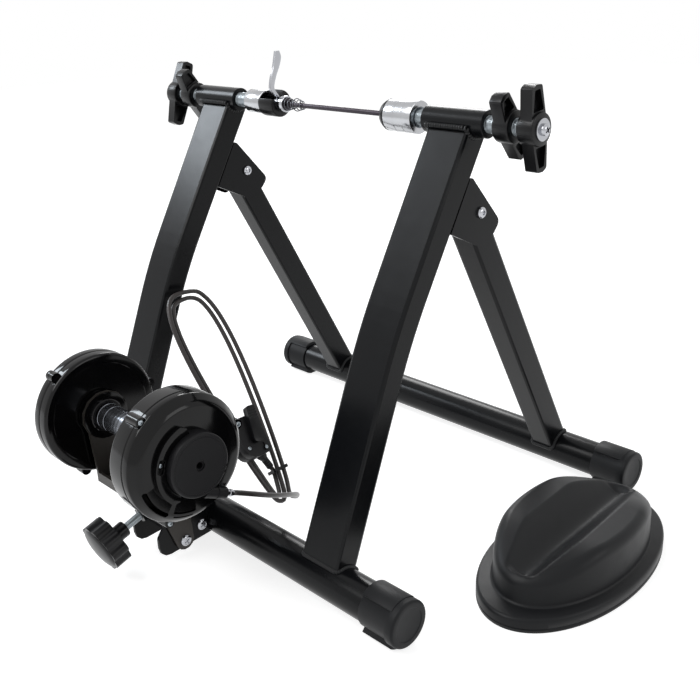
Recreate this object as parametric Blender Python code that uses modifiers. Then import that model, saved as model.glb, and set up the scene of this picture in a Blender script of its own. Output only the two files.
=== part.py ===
"""Wheel-on bike trainer: a folding steel stand, axle clamps and a magnetic resistance unit.

Metres, +Z up. X runs along the base tubes towards the drum side, Y runs from the roller to the
rear tube, Z rises from the floor. Pieces are placed with the front tube's axis over Y = 0 and the
stand's middle at X = 0. The whole stand then moves so that the middle of its footprint is the origin.
"""

import math

import bmesh
import bpy
from mathutils import Matrix, Vector

# Clearance between pieces that touch or fit into each other
FIT = 0.0003

# Sides on round forms, from bolts to covers
FINE = 10
SMALL = 14
MEDIUM = 18
WIDE = 22
LARGE = 32

# Base tubes
BASE_RADIUS = 0.018
BASE_WALL = 0.0016
BASE_HEIGHT = 0.0236
FRONT_HALF_LENGTH = 0.2586
REAR_HALF_LENGTH = 0.2634
REAR_BASE_Y = 0.345

# Stepped foot caps
FOOT_LENGTH = 0.040
FOOT_END = 0.004
FOOT_WALL = 0.0013
FOOT_TOP_PAD = 0.0222
FOOT_DISC = 0.0218
FOOT_DISC_DEPTH = 0.007
FOOT_FLAT = 0.0008
FOOT_PAD_ANGLE = 38.0

# Bent uprights, seen from the side as (Y, Z)
UPRIGHT_X = 0.164
UPRIGHT_WIDTH = 0.0447
UPRIGHT_DEPTH = 0.0244
UPRIGHT_WALL = 0.0015
UPRIGHT_CORNER = 0.003
UPRIGHT_BEND_Y = 0.0694
UPRIGHT_BEND_Z = 0.2308
UPRIGHT_BEND_RADIUS = 0.55
UPRIGHT_LOWER_LEAN = 22.0
UPRIGHT_UPPER_LEAN = 30.1
UPRIGHT_TOP_DROP = 0.002

# Axle clamps
CLAMP_Y = 0.176
CLAMP_Z = 0.3994
CLAMP_TUBE_RADIUS = 0.012
CLAMP_TUBE_INNER_X = 0.133
CLAMP_TUBE_OUTER_X = 0.2003
SPINDLE_RADIUS = 0.0076
SPINDLE_SEAT = 0.010
HANDLE_HUB_RADIUS = 0.014
HANDLE_HUB_LENGTH = 0.0162
HANDLE_ARM_THICKNESS = 0.0115
HANDLE_ARM_ROOT = 0.0095
HANDLE_ARM_TIP = 0.0068
HANDLE_POCKET_DEPTH = 0.003
HANDLE_BEVEL = 0.001
DRIVE_HANDLE_SPAN = 0.072
LOCK_HANDLE_SPAN = 0.062
DRIVE_HUB_END = 0.0035
DRIVE_SCREW_RADIUS = 0.0028
DRIVE_WASHER_RADIUS = 0.0092
DRIVE_WASHER_THICKNESS = 0.0016
DRIVE_SCREW_HEAD = 0.0058
DRIVE_SCREW_HEAD_HEIGHT = 0.0042
LEFT_LOCK_X = 0.2095
LEFT_DRIVE_X = 0.237
RIGHT_LOCK_X = 0.212
RIGHT_DRIVE_X = 0.2363
LEFT_DRIVE_TILT = -17.8
LEFT_LOCK_TILT = 28.6
RIGHT_DRIVE_TILT = 8.9
RIGHT_LOCK_TILT = 30.6

# Cups that hold the skewer's ends
RIGHT_CUP_X = 0.0866
RIGHT_CUP_LENGTH = 0.0364
RIGHT_CUP_RADIUS = 0.0148
RIGHT_SOCKET_DEPTH = 0.0234
LEFT_CUP_X = 0.0892
LEFT_CUP_LENGTH = 0.0245
LEFT_CUP_RADIUS = 0.0121
CUP_BEVEL = 0.0008
CUP_SOCKET_RADIUS = 0.0095
RIM_LENGTH = 0.005
RIM_RADIUS = 0.0142
COLLAR_LENGTH = 0.0225
COLLAR_RADIUS = 0.0137
COLLAR_NOTCH_TURN = 26.0
COLLAR_NOTCH_ANGLE = 40.0

# Quick-release skewer
SKEWER_PIVOT_X = -0.070
SKEWER_RADIUS = 0.0025
SKEWER_HEAD_X = -0.0575
SKEWER_HEAD_RADIUS = 0.0082
SKEWER_HEAD_RIM = 0.0055
SKEWER_FORK_RADIUS = 0.0063
SKEWER_FORK_LENGTH = 0.0150
SKEWER_SLOT = 0.009
SKEWER_ROD_END = 0.0905
SKEWER_NUT_X = 0.0842
SKEWER_NUT_LENGTH = 0.0115
SKEWER_NUT_RADIUS = 0.0078
SPRING_WIRE = 0.0005
SPRING_BIG_RADIUS = 0.0066
SPRING_SMALL_RADIUS = 0.0036
SPRING_LENGTH = 0.0125
SPRING_TURNS = 3
LEVER_CAM_RADIUS = 0.0046
LEVER_WIDTH = 0.0082
LEVER_THICKNESS = 0.0034

# Hinges between the uprights and the rear legs
HINGE_ALONG = 0.1351
HINGE_STANDOFF = 0.0294
BRACKET_WIDTH = 0.0446
BRACKET_THICKNESS = 0.0025
BOLT_RADIUS = 0.004
BOLT_HOLE_CLEARANCE = 0.0003
BOLT_HEAD_RADIUS = 0.0075
BOLT_HEAD_HEIGHT = 0.005
BOLT_NUT_HEIGHT = 0.0062
SLEEVE_RADIUS = 0.0068

# Rear legs
LEG_X = 0.1665
LEG_WIDTH = 0.0261
LEG_DEPTH = 0.02765
LEG_WALL = 0.0015
LEG_CORNER = 0.0028
LEG_TOP = 0.030

# Resistance unit: roller axis, covers, flywheel and drum
ROLLER_Y = -0.076
ROLLER_Z = 0.1414
ROLLER_RADIUS = 0.0127
ROLLER_LEFT = -0.0476
ROLLER_RIGHT = 0.0422
SHAFT_RADIUS = 0.006
SHAFT_LEFT = -0.0765
SHAFT_RIGHT = 0.0622
BEARING_HUB = 0.016
BEARING_FLANGE = 0.022
BEARING_FLANGE_THICKNESS = 0.0031
BEARING_HUB_REACH = 0.0028
COVER_RADIUS = 0.058
COVER_WALL = 0.0025
COVER_EDGE = 0.003
COVER_HOLE = 0.0078
LEFT_COVER_X = -0.058
LEFT_INNER_DEPTH = 0.011
LEFT_OUTER_DEPTH = 0.0108
RIGHT_COVER_X = 0.050
RIGHT_BACK_DEPTH = 0.0197
RIGHT_FRONT_DEPTH = 0.0163
LUG_ORBIT = 0.0590
LUG_RADIUS = 0.0060
LUG_ANGLES = (9.0, 129.0, 249.0)
SLOT_ORBIT = 0.0497
SLOT_WIDTH = 0.0046
FLYWHEEL_RADIUS = 0.0525
FLYWHEEL_RIM = 0.0135
FLYWHEEL_WEB = 0.005
ROTOR_X = 0.0570
ROTOR_THICKNESS = 0.004
ROTOR_RADIUS = 0.051
CARRIER_X = 0.0640
CARRIER_PLATE = 0.0045
CARRIER_RADIUS = 0.050
PULLEY_RADIUS = 0.0247
MAGNET_ORBIT = 0.038
MAGNET_RADIUS = 0.008
MAGNET_PROUD = 0.0012
MAGNET_COUNT = 6
DRUM_RADIUS = 0.0305
DRUM_DEPTH = 0.0127
DRUM_WALL = 0.0025
DRUM_HOLE = 0.005

# Yoke that carries the unit, and its bracket on the front tube
YOKE_SHEET = 0.003
YOKE_LEFT = -0.054
YOKE_BASE_Z = 0.076
YOKE_FRONT_Y = -0.092
YOKE_REAR_Y = -0.040
YOKE_LIP = 0.010
YOKE_BOSS = 0.0235
CHEEK_SHEET = 0.0025
PIVOT_Y = -0.0459
PIVOT_Z = 0.0177
PIVOT_LOBE = 0.010
FIXING_Y = -0.0243
FIXING_Z = 0.0245
PLATE_LEFT = -0.033
PLATE_RIGHT = 0.012
PLATE_SHEET = 0.003
SMALL_BOLT_RADIUS = 0.003
SMALL_BOLT_HEAD = 0.0058
SMALL_BOLT_HEAD_HEIGHT = 0.003

# Tension screw
TENSION_X = -0.011
TENSION_Y = -0.0504
TENSION_Z = 0.0574
TENSION_RISE = 18.4
TENSION_RADIUS = 0.004
TENSION_LENGTH = 0.070
TENSION_GAP = 0.0005
TAB_WIDTH = 0.020
KNOB_HUB_START = 0.0455
KNOB_HUB_RADIUS = 0.0078
KNOB_HUB_LENGTH = 0.0135
KNOB_RADIUS = 0.0245
KNOB_LOBE_DEPTH = 0.0026
KNOB_LOBES = 10
KNOB_THICKNESS = 0.0165
KNOB_CROWN = 0.004

# Cable from the drum to the shifter
CABLE_RADIUS = 0.0024
SOCKET_X = 0.0920
SOCKET_Y = -0.0494
SOCKET_Z = 0.1020
SOCKET_FALL = 24.6
SOCKET_RADIUS = 0.0053
SOCKET_LENGTH = 0.024
FERRULE_RADIUS = 0.0034
FERRULE_LENGTH = 0.009
HANK_X = 0.020
HANK_Y = 0.0735
HANK_Z = 0.0030
HANK_LEAN = 36.87
HANK_LENGTH = 0.256
HANK_LOOPS = 2
HANK_POINTS = 24
HANK_PITCH = 0.0064
HANK_LIFT = 0.0028
HANK_WAIST = 0.0185
HANK_SPREAD = 0.10
HANK_ROUNDNESS = 0.6
HANK_FIRST_TURN = 0.06
HANK_LAST_TURN = 2.03
TIE_ALONG = 0.036
TIE_WIDTH = 0.0035
TIE_WALL = 0.0012

# Remote shifter
SHIFTER_Y = 0.0592
SHIFTER_ALONG = 0.0795
SHIFTER_WIDTH = 0.030
SHIFTER_HEIGHT = 0.044
SHIFTER_THICKNESS = 0.022
SHIFTER_LEVER_THICKNESS = 0.008
BOOT_ACROSS = 0.0060
BOOT_ALONG = 0.0440
BOOT_OUT = 0.0010
BOOT_ROOT_RADIUS = 0.0058
BOOT_MOUTH_RADIUS = 0.0038

# Front wheel riser block
RISER_X = 0.292
RISER_Y = 0.196
RISER_TURN = 3.4
RISER_HALF_WIDTH = 0.0687
RISER_HALF_LENGTH = 0.124
RISER_FLANGE = 0.0135
RISER_INSET = 0.0115
RISER_HEIGHT = 0.056
RISER_END_HEIGHT = 0.0395
RISER_PLATEAU = 0.3
RISER_GROOVE_DEPTH = 0.026
RISER_GROOVE_WIDTH = 0.060
RISER_CHANNEL_WIDTH = 0.014

AXIS_X = Vector((1.0, 0.0, 0.0))
AXIS_Y = Vector((0.0, 1.0, 0.0))
FACING_X = Matrix(((0, 0, 1), (1, 0, 0), (0, 1, 0)))
SIDES = {"left": -1.0, "right": 1.0}

FINISHES = {
    "black_paint": ((0.012, 0.013, 0.016), 0.32, 0.0),
    "black_plastic": ((0.018, 0.018, 0.020), 0.55, 0.0),
    "gloss_plastic": ((0.010, 0.010, 0.012), 0.18, 0.0),
    "olive_paint": ((0.030, 0.029, 0.024), 0.40, 0.0),
    "black_rubber": ((0.015, 0.015, 0.016), 0.80, 0.0),
    "aluminium": ((0.80, 0.80, 0.81), 0.22, 1.0),
    "zinc": ((0.62, 0.66, 0.68), 0.35, 1.0),
    "steel": ((0.55, 0.55, 0.56), 0.30, 1.0),
    "chrome": ((0.80, 0.80, 0.82), 0.08, 1.0),
    "dark_steel": ((0.09, 0.08, 0.09), 0.40, 1.0),
}


def clear_scene():
    """Remove every object that the scene starts with."""
    for item in list(bpy.data.objects):
        bpy.data.objects.remove(item, do_unlink=True)


def new_collection(name):
    group = bpy.data.collections.new(name)
    bpy.context.scene.collection.children.link(group)
    return group


clear_scene()
PARTS = new_collection("wheel_on_trainer")
CUTTERS = new_collection("cutters")


def body(name, pivot=(0.0, 0.0, 0.0), carrier=None):
    """An empty on a joint's axis, which carries the pieces that move together."""
    empty = bpy.data.objects.new(name, None)
    PARTS.objects.link(empty)
    empty.location = pivot
    if carrier is not None:
        empty.parent = carrier
        empty.matrix_parent_inverse = carrier.matrix_world.inverted()
    bpy.context.view_layer.update()
    return empty


def add_object(name, data):
    item = bpy.data.objects.new(name, data)
    PARTS.objects.link(item)
    return item


def from_bmesh(name, shape):
    mesh = bpy.data.meshes.new(name)
    shape.to_mesh(mesh)
    shape.free()
    return add_object(name, mesh)


def turn_to(direction):
    """The rotation that lays local Z along a direction."""
    return Vector((0.0, 0.0, 1.0)).rotation_difference(Vector(direction)).to_matrix()


def box(name, low, high):
    shape = bmesh.new()
    bmesh.ops.create_cube(shape, size=1.0)
    size = Vector(high) - Vector(low)
    bmesh.ops.scale(shape, vec=size, verts=shape.verts)
    bmesh.ops.translate(shape, vec=(Vector(high) + Vector(low)) / 2, verts=shape.verts)
    return from_bmesh(name, shape)


def rod(name, start, end, radius, sides=SMALL):
    """A round or many-sided bar between two points."""
    start = Vector(start)
    end = Vector(end)
    shape = bmesh.new()
    bmesh.ops.create_cone(
        shape,
        cap_ends=True,
        segments=sides,
        radius1=radius,
        radius2=radius,
        depth=(end - start).length,
    )
    item = from_bmesh(name, shape)
    item.location = (start + end) / 2
    item.rotation_euler = turn_to(end - start).to_euler()
    return item


def turned(name, profile, start, direction, steps=WIDE, closed=False):
    """Revolve a profile of (distance, radius) pairs, listed away from the start on the outer side."""
    shape = bmesh.new()
    corners = [shape.verts.new((radius, 0.0, distance)) for distance, radius in reversed(profile)]
    for first, second in zip(corners, corners[1:]):
        shape.edges.new((first, second))
    if closed:
        shape.edges.new((corners[-1], corners[0]))
    item = from_bmesh(name, shape)
    item.location = start
    item.rotation_euler = turn_to(direction).to_euler()
    screw = item.modifiers.new("Revolve", "SCREW")
    screw.steps = steps
    screw.render_steps = steps
    screw.use_merge_vertices = True
    screw.merge_threshold = 0.00001
    return item


def solid_mesh(source):
    """Replace a curve by a closed mesh of its evaluated shape."""
    bpy.context.view_layer.update()
    graph = bpy.context.evaluated_depsgraph_get()
    mesh = bpy.data.meshes.new_from_object(source.evaluated_get(graph))
    shape = bmesh.new()
    shape.from_mesh(mesh)
    bmesh.ops.remove_doubles(shape, verts=shape.verts, dist=0.000002)
    bmesh.ops.recalc_face_normals(shape, faces=shape.faces)
    shape.to_mesh(mesh)
    shape.free()
    name = source.name
    place = source.matrix_world.copy()
    bpy.data.objects.remove(source, do_unlink=True)
    mesh.name = name
    item = add_object(name, mesh)
    item.matrix_world = place
    return item


def plate(name, outline, low, high, facing=FACING_X, at=(0.0, 0.0, 0.0), holes=()):
    """Extrude a flat outline from low to high along its normal. Facing X, the outline is (Y, Z)."""
    curve = bpy.data.curves.new(name, "CURVE")
    curve.dimensions = "2D"
    curve.fill_mode = "BOTH"
    curve.extrude = (high - low) / 2
    for ring in (outline, *holes):
        spline = curve.splines.new("POLY")
        spline.points.add(len(ring) - 1)
        for point, (first, second) in zip(spline.points, ring):
            point.co = (first, second, 0.0, 1.0)
        spline.use_cyclic_u = True
    item = add_object(name, curve)
    item.location = Vector(at) + facing @ Vector((0.0, 0.0, (low + high) / 2))
    item.rotation_euler = facing.to_euler()
    return solid_mesh(item)


def tube(name, points, radius, resolution=2):
    """A round wire or cord through a list of points."""
    curve = bpy.data.curves.new(name, "CURVE")
    curve.dimensions = "3D"
    curve.bevel_depth = radius
    curve.bevel_resolution = resolution
    curve.use_fill_caps = True
    curve.resolution_u = 1
    curve.render_resolution_u = 0
    spline = curve.splines.new("POLY")
    spline.points.add(len(points) - 1)
    for point, place in zip(spline.points, points):
        point.co = (*place, 1.0)
    return solid_mesh(add_object(name, curve))


def tool(item):
    """Put a cutting or joining shape away with the other cutters."""
    if item.name not in CUTTERS.objects:
        PARTS.objects.unlink(item)
        CUTTERS.objects.link(item)
        item.hide_render = True
        item.display_type = "WIRE"
        item.parent = STAND
    return item


def boolean(item, operation, shapes):
    for shape in shapes:
        step = item.modifiers.new(operation.title(), "BOOLEAN")
        step.operation = operation
        step.object = tool(shape)
    return item


def cut(item, *shapes):
    return boolean(item, "DIFFERENCE", shapes)


def join(item, *shapes):
    return boolean(item, "UNION", shapes)


def soften(item, width, segments=2, angle=30.0):
    bevel = item.modifiers.new("Edges", "BEVEL")
    bevel.width = width
    bevel.segments = segments
    bevel.limit_method = "ANGLE"
    bevel.angle_limit = math.radians(angle)
    return item


def finish(item, carrier, look):
    """Hang a finished piece on its body and give it its own material."""
    item.parent = carrier
    item.matrix_parent_inverse = carrier.matrix_world.inverted()
    colour, roughness, metallic = FINISHES[look]
    material = bpy.data.materials.new(item.name + "_" + look)
    material.use_nodes = True
    shader = material.node_tree.nodes["Principled BSDF"]
    shader.inputs["Base Color"].default_value = (*colour, 1.0)
    shader.inputs["Roughness"].default_value = roughness
    shader.inputs["Metallic"].default_value = metallic
    item.data.materials.append(material)
    item.data.shade_smooth()
    item.data.set_sharp_from_angle(angle=math.radians(35.0))
    return item


def arc(centre, radius, first, last, steps):
    """Points on an arc, angles in degrees, both ends included."""
    points = []
    for step in range(steps + 1):
        angle = math.radians(first + (last - first) * step / steps)
        points.append((centre[0] + radius * math.cos(angle), centre[1] + radius * math.sin(angle)))
    return points


def circle(centre, radius, sides):
    return arc(centre, radius, 0.0, 360.0, sides)[:-1]


def rounded(corners, steps=3):
    """Round the corners of a closed outline, each given as (first, second, radius)."""
    points = []
    count = len(corners)
    for index, (first, second, radius) in enumerate(corners):
        here = Vector((first, second))
        before = Vector(corners[index - 1][:2]) - here
        after = Vector(corners[(index + 1) % count][:2]) - here
        if radius == 0.0:
            points.append((first, second))
            continue
        half = before.angle(after) / 2
        centre = here + (before.normalized() + after.normalized()).normalized() * radius / math.sin(half)
        start = here + before.normalized() * radius / math.tan(half) - centre
        end = here + after.normalized() * radius / math.tan(half) - centre
        sweep = start.angle_signed(end)
        for step in range(steps + 1):
            spoke = start.copy()
            spoke.rotate(Matrix.Rotation(-sweep * step / steps, 2))
            points.append(tuple(centre + spoke))
    return points


def offset_corner(corner, first_normal, second_normal, distance):
    """Where two lines through a corner meet after both move by a distance along their normals."""
    return corner + (first_normal + second_normal) * distance / (1.0 + first_normal.dot(second_normal))


def leaning(degrees):
    """The direction up a leaning bar and the direction out of its back, as (Y, Z)."""
    angle = math.radians(degrees)
    return Vector((math.sin(angle), math.cos(angle))), Vector((math.cos(angle), -math.sin(angle)))


# The stand's own directions and points, as (Y, Z)
LOWER_UP, LOWER_BACK = leaning(UPRIGHT_LOWER_LEAN)
UPPER_UP, UPPER_BACK = leaning(UPRIGHT_UPPER_LEAN)
BEND = Vector((UPRIGHT_BEND_Y, UPRIGHT_BEND_Z))
FRONT_AXIS = Vector((0.0, BASE_HEIGHT))
REAR_AXIS = Vector((REAR_BASE_Y, BASE_HEIGHT))
CLAMP_AXIS = Vector((CLAMP_Y, CLAMP_Z))
ROLLER_AXIS = Vector((ROLLER_Y, ROLLER_Z))
HINGE = BEND + UPPER_UP * HINGE_ALONG + UPPER_BACK * (UPRIGHT_DEPTH + HINGE_STANDOFF)
LEG_UP = (HINGE - REAR_AXIS).normalized()
LEG_BACK = Vector((LEG_UP.y, -LEG_UP.x))
LEG_LENGTH = (HINGE - REAR_AXIS).length
TENSION_WAY = Vector((math.cos(math.radians(TENSION_RISE)), math.sin(math.radians(TENSION_RISE))))
SOCKET_WAY = Vector((math.cos(math.radians(SOCKET_FALL)), -math.sin(math.radians(SOCKET_FALL))))
HANK_UP = Vector((-math.sin(math.radians(HANK_LEAN)), 0.0, math.cos(math.radians(HANK_LEAN))))
HANK_OUT = Vector((math.cos(math.radians(HANK_LEAN)), 0.0, math.sin(math.radians(HANK_LEAN))))
HANK_FRAME = Matrix((AXIS_Y, HANK_UP, HANK_OUT)).transposed()
HANK_ORIGIN = Vector((HANK_X, HANK_Y, HANK_Z))
RIGHT_DRUM_FACE = RIGHT_COVER_X + RIGHT_BACK_DEPTH + FIT + RIGHT_FRONT_DEPTH + FIT


def at(x, place):
    """A point from its X and its (Y, Z)."""
    return Vector((x, place[0], place[1]))


STAND = body("stand")
REAR_FRAME = body("rear_frame", at(0.0, HINGE), STAND)
UNIT = body("resistance_unit", (0.0, PIVOT_Y, PIVOT_Z), STAND)
SPINNING = body("roller_and_flywheel", at(0.0, ROLLER_AXIS), UNIT)
CARRIER = body("magnet_drum", at(0.0, ROLLER_AXIS), UNIT)
TENSION_SLIDE = body("tension_screw", (TENSION_X, TENSION_Y, TENSION_Z), STAND)
TENSION_KNOB = body("tension_knob_body", (TENSION_X, TENSION_Y, TENSION_Z), TENSION_SLIDE)
CLAMP = {}
SPINDLE = {}
LOCK = {}
for hand, way in SIDES.items():
    CLAMP[hand] = body(hand + "_clamp", at(way * CLAMP_TUBE_INNER_X, CLAMP_AXIS), STAND)
    SPINDLE[hand] = body(hand + "_spindle_body", at(way * CLAMP_TUBE_INNER_X, CLAMP_AXIS), CLAMP[hand])
    LOCK[hand] = body(hand + "_lock_body", at(way * CLAMP_TUBE_OUTER_X, CLAMP_AXIS), CLAMP[hand])
LEVER = body("skewer_lever_body", at(SKEWER_PIVOT_X, CLAMP_AXIS), CLAMP["left"])
NUT = body("skewer_nut_body", at(SKEWER_NUT_X, CLAMP_AXIS), CLAMP["left"])
RISER = body("riser", (RISER_X, RISER_Y, 0.0), STAND)
FEET = {}
for hand, way in SIDES.items():
    FEET[hand, "front"] = body(hand + "_front_foot_body", at(way * FRONT_HALF_LENGTH, FRONT_AXIS), STAND)
    FEET[hand, "rear"] = body(hand + "_rear_foot_body", at(way * REAR_HALF_LENGTH, REAR_AXIS), REAR_FRAME)


def pipe(name, start, direction, length, radius, bore, steps=WIDE):
    """A straight round tube, open at both ends."""
    ring = [(0.0, bore), (0.0, radius), (length, radius), (length, bore)]
    return turned(name, ring, start, direction, steps, closed=True)


def base_tube(name, axis, half_length, carrier):
    length = 2 * half_length
    item = pipe(name, at(-half_length, axis), AXIS_X, length, BASE_RADIUS, BASE_RADIUS - BASE_WALL)
    finish(item, carrier, "black_paint")


def foot_section(axis):
    """The cap's stepped section: a low pad with a flat, a top pad and a plain sleeve between them."""
    sleeve = BASE_RADIUS + FIT + FOOT_WALL
    low = -90.0 - FOOT_PAD_ANGLE
    high = 90.0 - FOOT_PAD_ANGLE
    span = 2 * FOOT_PAD_ANGLE
    low_pad = BASE_HEIGHT + FOOT_FLAT
    flat = math.degrees(math.acos(BASE_HEIGHT / low_pad))
    points = arc(axis, low_pad, low, -90.0 - flat, 3)
    points += arc(axis, low_pad, -90.0 + flat, low + span, 3)
    points += arc(axis, sleeve, low + span, high, 5)
    points += arc(axis, FOOT_TOP_PAD, high, high + span, 5)
    points += arc(axis, sleeve, high + span, low + 360.0, 5)
    return points


def foot(hand, end, axis, half_length):
    way = SIDES[hand]
    name = hand + "_" + end + "_foot"
    outer = half_length + FIT + FOOT_END
    inner = outer - FOOT_LENGTH
    pad_end = outer - FOOT_DISC_DEPTH
    item = plate(name, foot_section(axis), min(way * inner, way * pad_end), max(way * inner, way * pad_end))
    rounding = FOOT_DISC_DEPTH / 4
    profile = [
        (-rounding, 0.0),
        (-rounding, FOOT_DISC),
        (FOOT_DISC_DEPTH - rounding, FOOT_DISC),
        (FOOT_DISC_DEPTH, FOOT_DISC - rounding),
        (FOOT_DISC_DEPTH, 0.0),
    ]
    disc = turned(name + "_disc", profile, at(way * pad_end, axis), AXIS_X * way)
    bore = rod(
        name + "_bore",
        at(way * (inner - FIT), axis),
        at(way * (half_length + FIT), axis),
        BASE_RADIUS + FIT,
        WIDE,
    )
    finish(cut(join(item, disc), bore), FEET[hand, end], "black_plastic")


def upright_outline(inset, below, above):
    """The side view of a bent upright, drawn inwards by an inset and cut square at both ends."""
    points = []
    faces = ((inset, UPRIGHT_DEPTH / 2 - inset), (UPRIGHT_DEPTH - inset, inset - UPRIGHT_DEPTH / 2))
    for side, (distance, reach) in enumerate(faces):
        corner = offset_corner(BEND, LOWER_BACK, UPPER_BACK, distance)
        low = corner + LOWER_UP * ((FRONT_AXIS - corner).dot(LOWER_UP) - below)
        high = corner + UPPER_UP * ((CLAMP_AXIS - corner).dot(UPPER_UP) - UPRIGHT_TOP_DROP + above)
        radius = UPRIGHT_BEND_RADIUS + reach
        centre = offset_corner(corner, LOWER_BACK, UPPER_BACK, radius)
        bend = arc(centre, radius, 180.0 - UPRIGHT_LOWER_LEAN, 180.0 - UPRIGHT_UPPER_LEAN, 6)
        line = [tuple(low), *bend, tuple(high)]
        points += line if side == 0 else line[::-1]
    return points


def upright(hand):
    way = SIDES[hand]
    centre = way * UPRIGHT_X
    half = UPRIGHT_WIDTH / 2
    item = plate(hand + "_upright", upright_outline(0.0, 0.0, 0.0), centre - half, centre + half)
    soften(item, UPRIGHT_CORNER, 2)
    hollow = plate(
        hand + "_upright_hollow",
        upright_outline(UPRIGHT_WALL, 2 * UPRIGHT_WALL, 2 * UPRIGHT_WALL),
        centre - half + UPRIGHT_WALL,
        centre + half - UPRIGHT_WALL,
    )
    reach = UPRIGHT_WIDTH
    foot_cope = rod(
        hand + "_upright_foot_cope",
        at(centre - reach, FRONT_AXIS),
        at(centre + reach, FRONT_AXIS),
        BASE_RADIUS + FIT,
        WIDE,
    )
    head_cope = rod(
        hand + "_upright_head_cope",
        at(centre - reach, CLAMP_AXIS),
        at(centre + reach, CLAMP_AXIS),
        CLAMP_TUBE_RADIUS + FIT,
        WIDE,
    )
    finish(cut(item, hollow, foot_cope, head_cope), STAND, "black_paint")


def clamp_tube(hand):
    way = SIDES[hand]
    length = CLAMP_TUBE_OUTER_X - CLAMP_TUBE_INNER_X
    start = at(way * CLAMP_TUBE_INNER_X, CLAMP_AXIS)
    item = pipe(hand + "_clamp_tube", start, AXIS_X * way, length, CLAMP_TUBE_RADIUS, SPINDLE_RADIUS + FIT, WIDE)
    finish(item, STAND, "black_paint")


def from_hinge(along, out):
    """A point behind the upright, from the hinge, along the upright and out of its back."""
    return tuple(HINGE + UPPER_UP * along + UPPER_BACK * out)


def hinge_bracket(hand):
    """A folded channel: its web lies on the upright's back and its two ears carry the bolt."""
    centre = SIDES[hand] * UPRIGHT_X
    half = BRACKET_WIDTH / 2
    face = -HINGE_STANDOFF + FIT
    corners = (
        (0.0219, face, 0.002),
        (0.0219, face + 0.004, 0.002),
        (0.0033, 0.0312, 0.006),
        (-0.0096, 0.0288, 0.006),
        (-0.0272, 0.0157, 0.008),
        (-0.0306, face, 0.0015),
    )
    outline = rounded([(*from_hinge(along, out), radius) for along, out, radius in corners])
    item = plate(hand + "_hinge_bracket", outline, centre - half, centre + half)
    web = face + BRACKET_THICKNESS
    reach = 2 * BRACKET_WIDTH
    channel = [from_hinge(-reach, web), from_hinge(reach, web), from_hinge(reach, reach), from_hinge(-reach, reach)]
    inner = half - BRACKET_THICKNESS
    mouth = plate(hand + "_bracket_channel", channel, centre - inner, centre + inner)
    hole = rod(
        hand + "_bracket_hole",
        at(centre - BRACKET_WIDTH, HINGE),
        at(centre + BRACKET_WIDTH, HINGE),
        BOLT_RADIUS + BOLT_HOLE_CLEARANCE,
        FINE,
    )
    finish(cut(item, mouth, hole), STAND, "black_paint")


def hinge_bolt(hand):
    """The hinge's bolt, with its nut and the two sleeves that centre the leg between the ears."""
    way = SIDES[hand]
    ear = BRACKET_WIDTH / 2
    low = way * UPRIGHT_X - ear
    high = way * UPRIGHT_X + ear
    leg_low = way * LEG_X - LEG_WIDTH / 2
    leg_high = way * LEG_X + LEG_WIDTH / 2
    nut_low = low - FIT - BOLT_NUT_HEIGHT
    head_high = high + FIT + BOLT_HEAD_HEIGHT
    shank = [(0.0, 0.0)]
    for first, last in ((low + BRACKET_THICKNESS + FIT, leg_low - FIT), (leg_high + FIT, high - BRACKET_THICKNESS - FIT)):
        shank += [(first - nut_low, BOLT_RADIUS), (first - nut_low, SLEEVE_RADIUS)]
        shank += [(last - nut_low, SLEEVE_RADIUS), (last - nut_low, BOLT_RADIUS)]
    end = head_high - FIT - nut_low
    shank = [(0.0, 0.0), (0.0, BOLT_RADIUS), *shank[1:], (end, BOLT_RADIUS), (end, 0.0)]
    item = turned(hand + "_hinge_bolt", shank, at(nut_low, HINGE), AXIS_X, FINE)
    nut = rod(hand + "_hinge_nut", at(nut_low + FIT, HINGE), at(low - FIT, HINGE), BOLT_HEAD_RADIUS, 6)
    head = rod(hand + "_hinge_bolt_head", at(high + FIT, HINGE), at(head_high, HINGE), BOLT_HEAD_RADIUS, 6)
    finish(join(item, nut, head), STAND, "zinc")


def from_leg(up, back):
    """A point beside the hinge, up the leg and out of its back."""
    return tuple(HINGE + LEG_UP * up + LEG_BACK * back)


def rear_leg(hand):
    """A square leg: its top lies flat on the bracket's web when open and swings clear of it."""
    centre = SIDES[hand] * LEG_X
    half = LEG_DEPTH / 2
    stop = HINGE_STANDOFF - BRACKET_THICKNESS - 2 * FIT

    def beside_web(back):
        return (stop + UPPER_BACK.dot(LEG_BACK) * back) / -UPPER_BACK.dot(LEG_UP)

    outline = [
        from_leg(-LEG_LENGTH, -half),
        from_leg(beside_web(-half), -half),
        from_leg(beside_web(-LEG_WALL), -LEG_WALL),
        from_leg(LEG_TOP, half / 3),
        from_leg(-half / 3, half),
        from_leg(-LEG_LENGTH, half),
    ]
    item = plate(hand + "_rear_leg", outline, centre - LEG_WIDTH / 2, centre + LEG_WIDTH / 2)
    soften(item, LEG_CORNER, 2)
    inner = half - LEG_WALL
    channel = [
        from_leg(-2 * LEG_LENGTH, -inner),
        from_leg(LEG_LENGTH, -inner),
        from_leg(LEG_LENGTH, inner),
        from_leg(-2 * LEG_LENGTH, inner),
    ]
    side = LEG_WIDTH / 2 - LEG_WALL
    hollow = plate(hand + "_leg_hollow", channel, centre - side, centre + side)
    cope = rod(
        hand + "_leg_cope",
        at(centre - LEG_WIDTH, REAR_AXIS),
        at(centre + LEG_WIDTH, REAR_AXIS),
        BASE_RADIUS + FIT,
        WIDE,
    )
    hole = rod(
        hand + "_leg_hole",
        at(centre - LEG_WIDTH, HINGE),
        at(centre + LEG_WIDTH, HINGE),
        BOLT_RADIUS + BOLT_HOLE_CLEARANCE,
        FINE,
    )
    finish(cut(item, hollow, cope, hole), REAR_FRAME, "black_paint")


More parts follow.
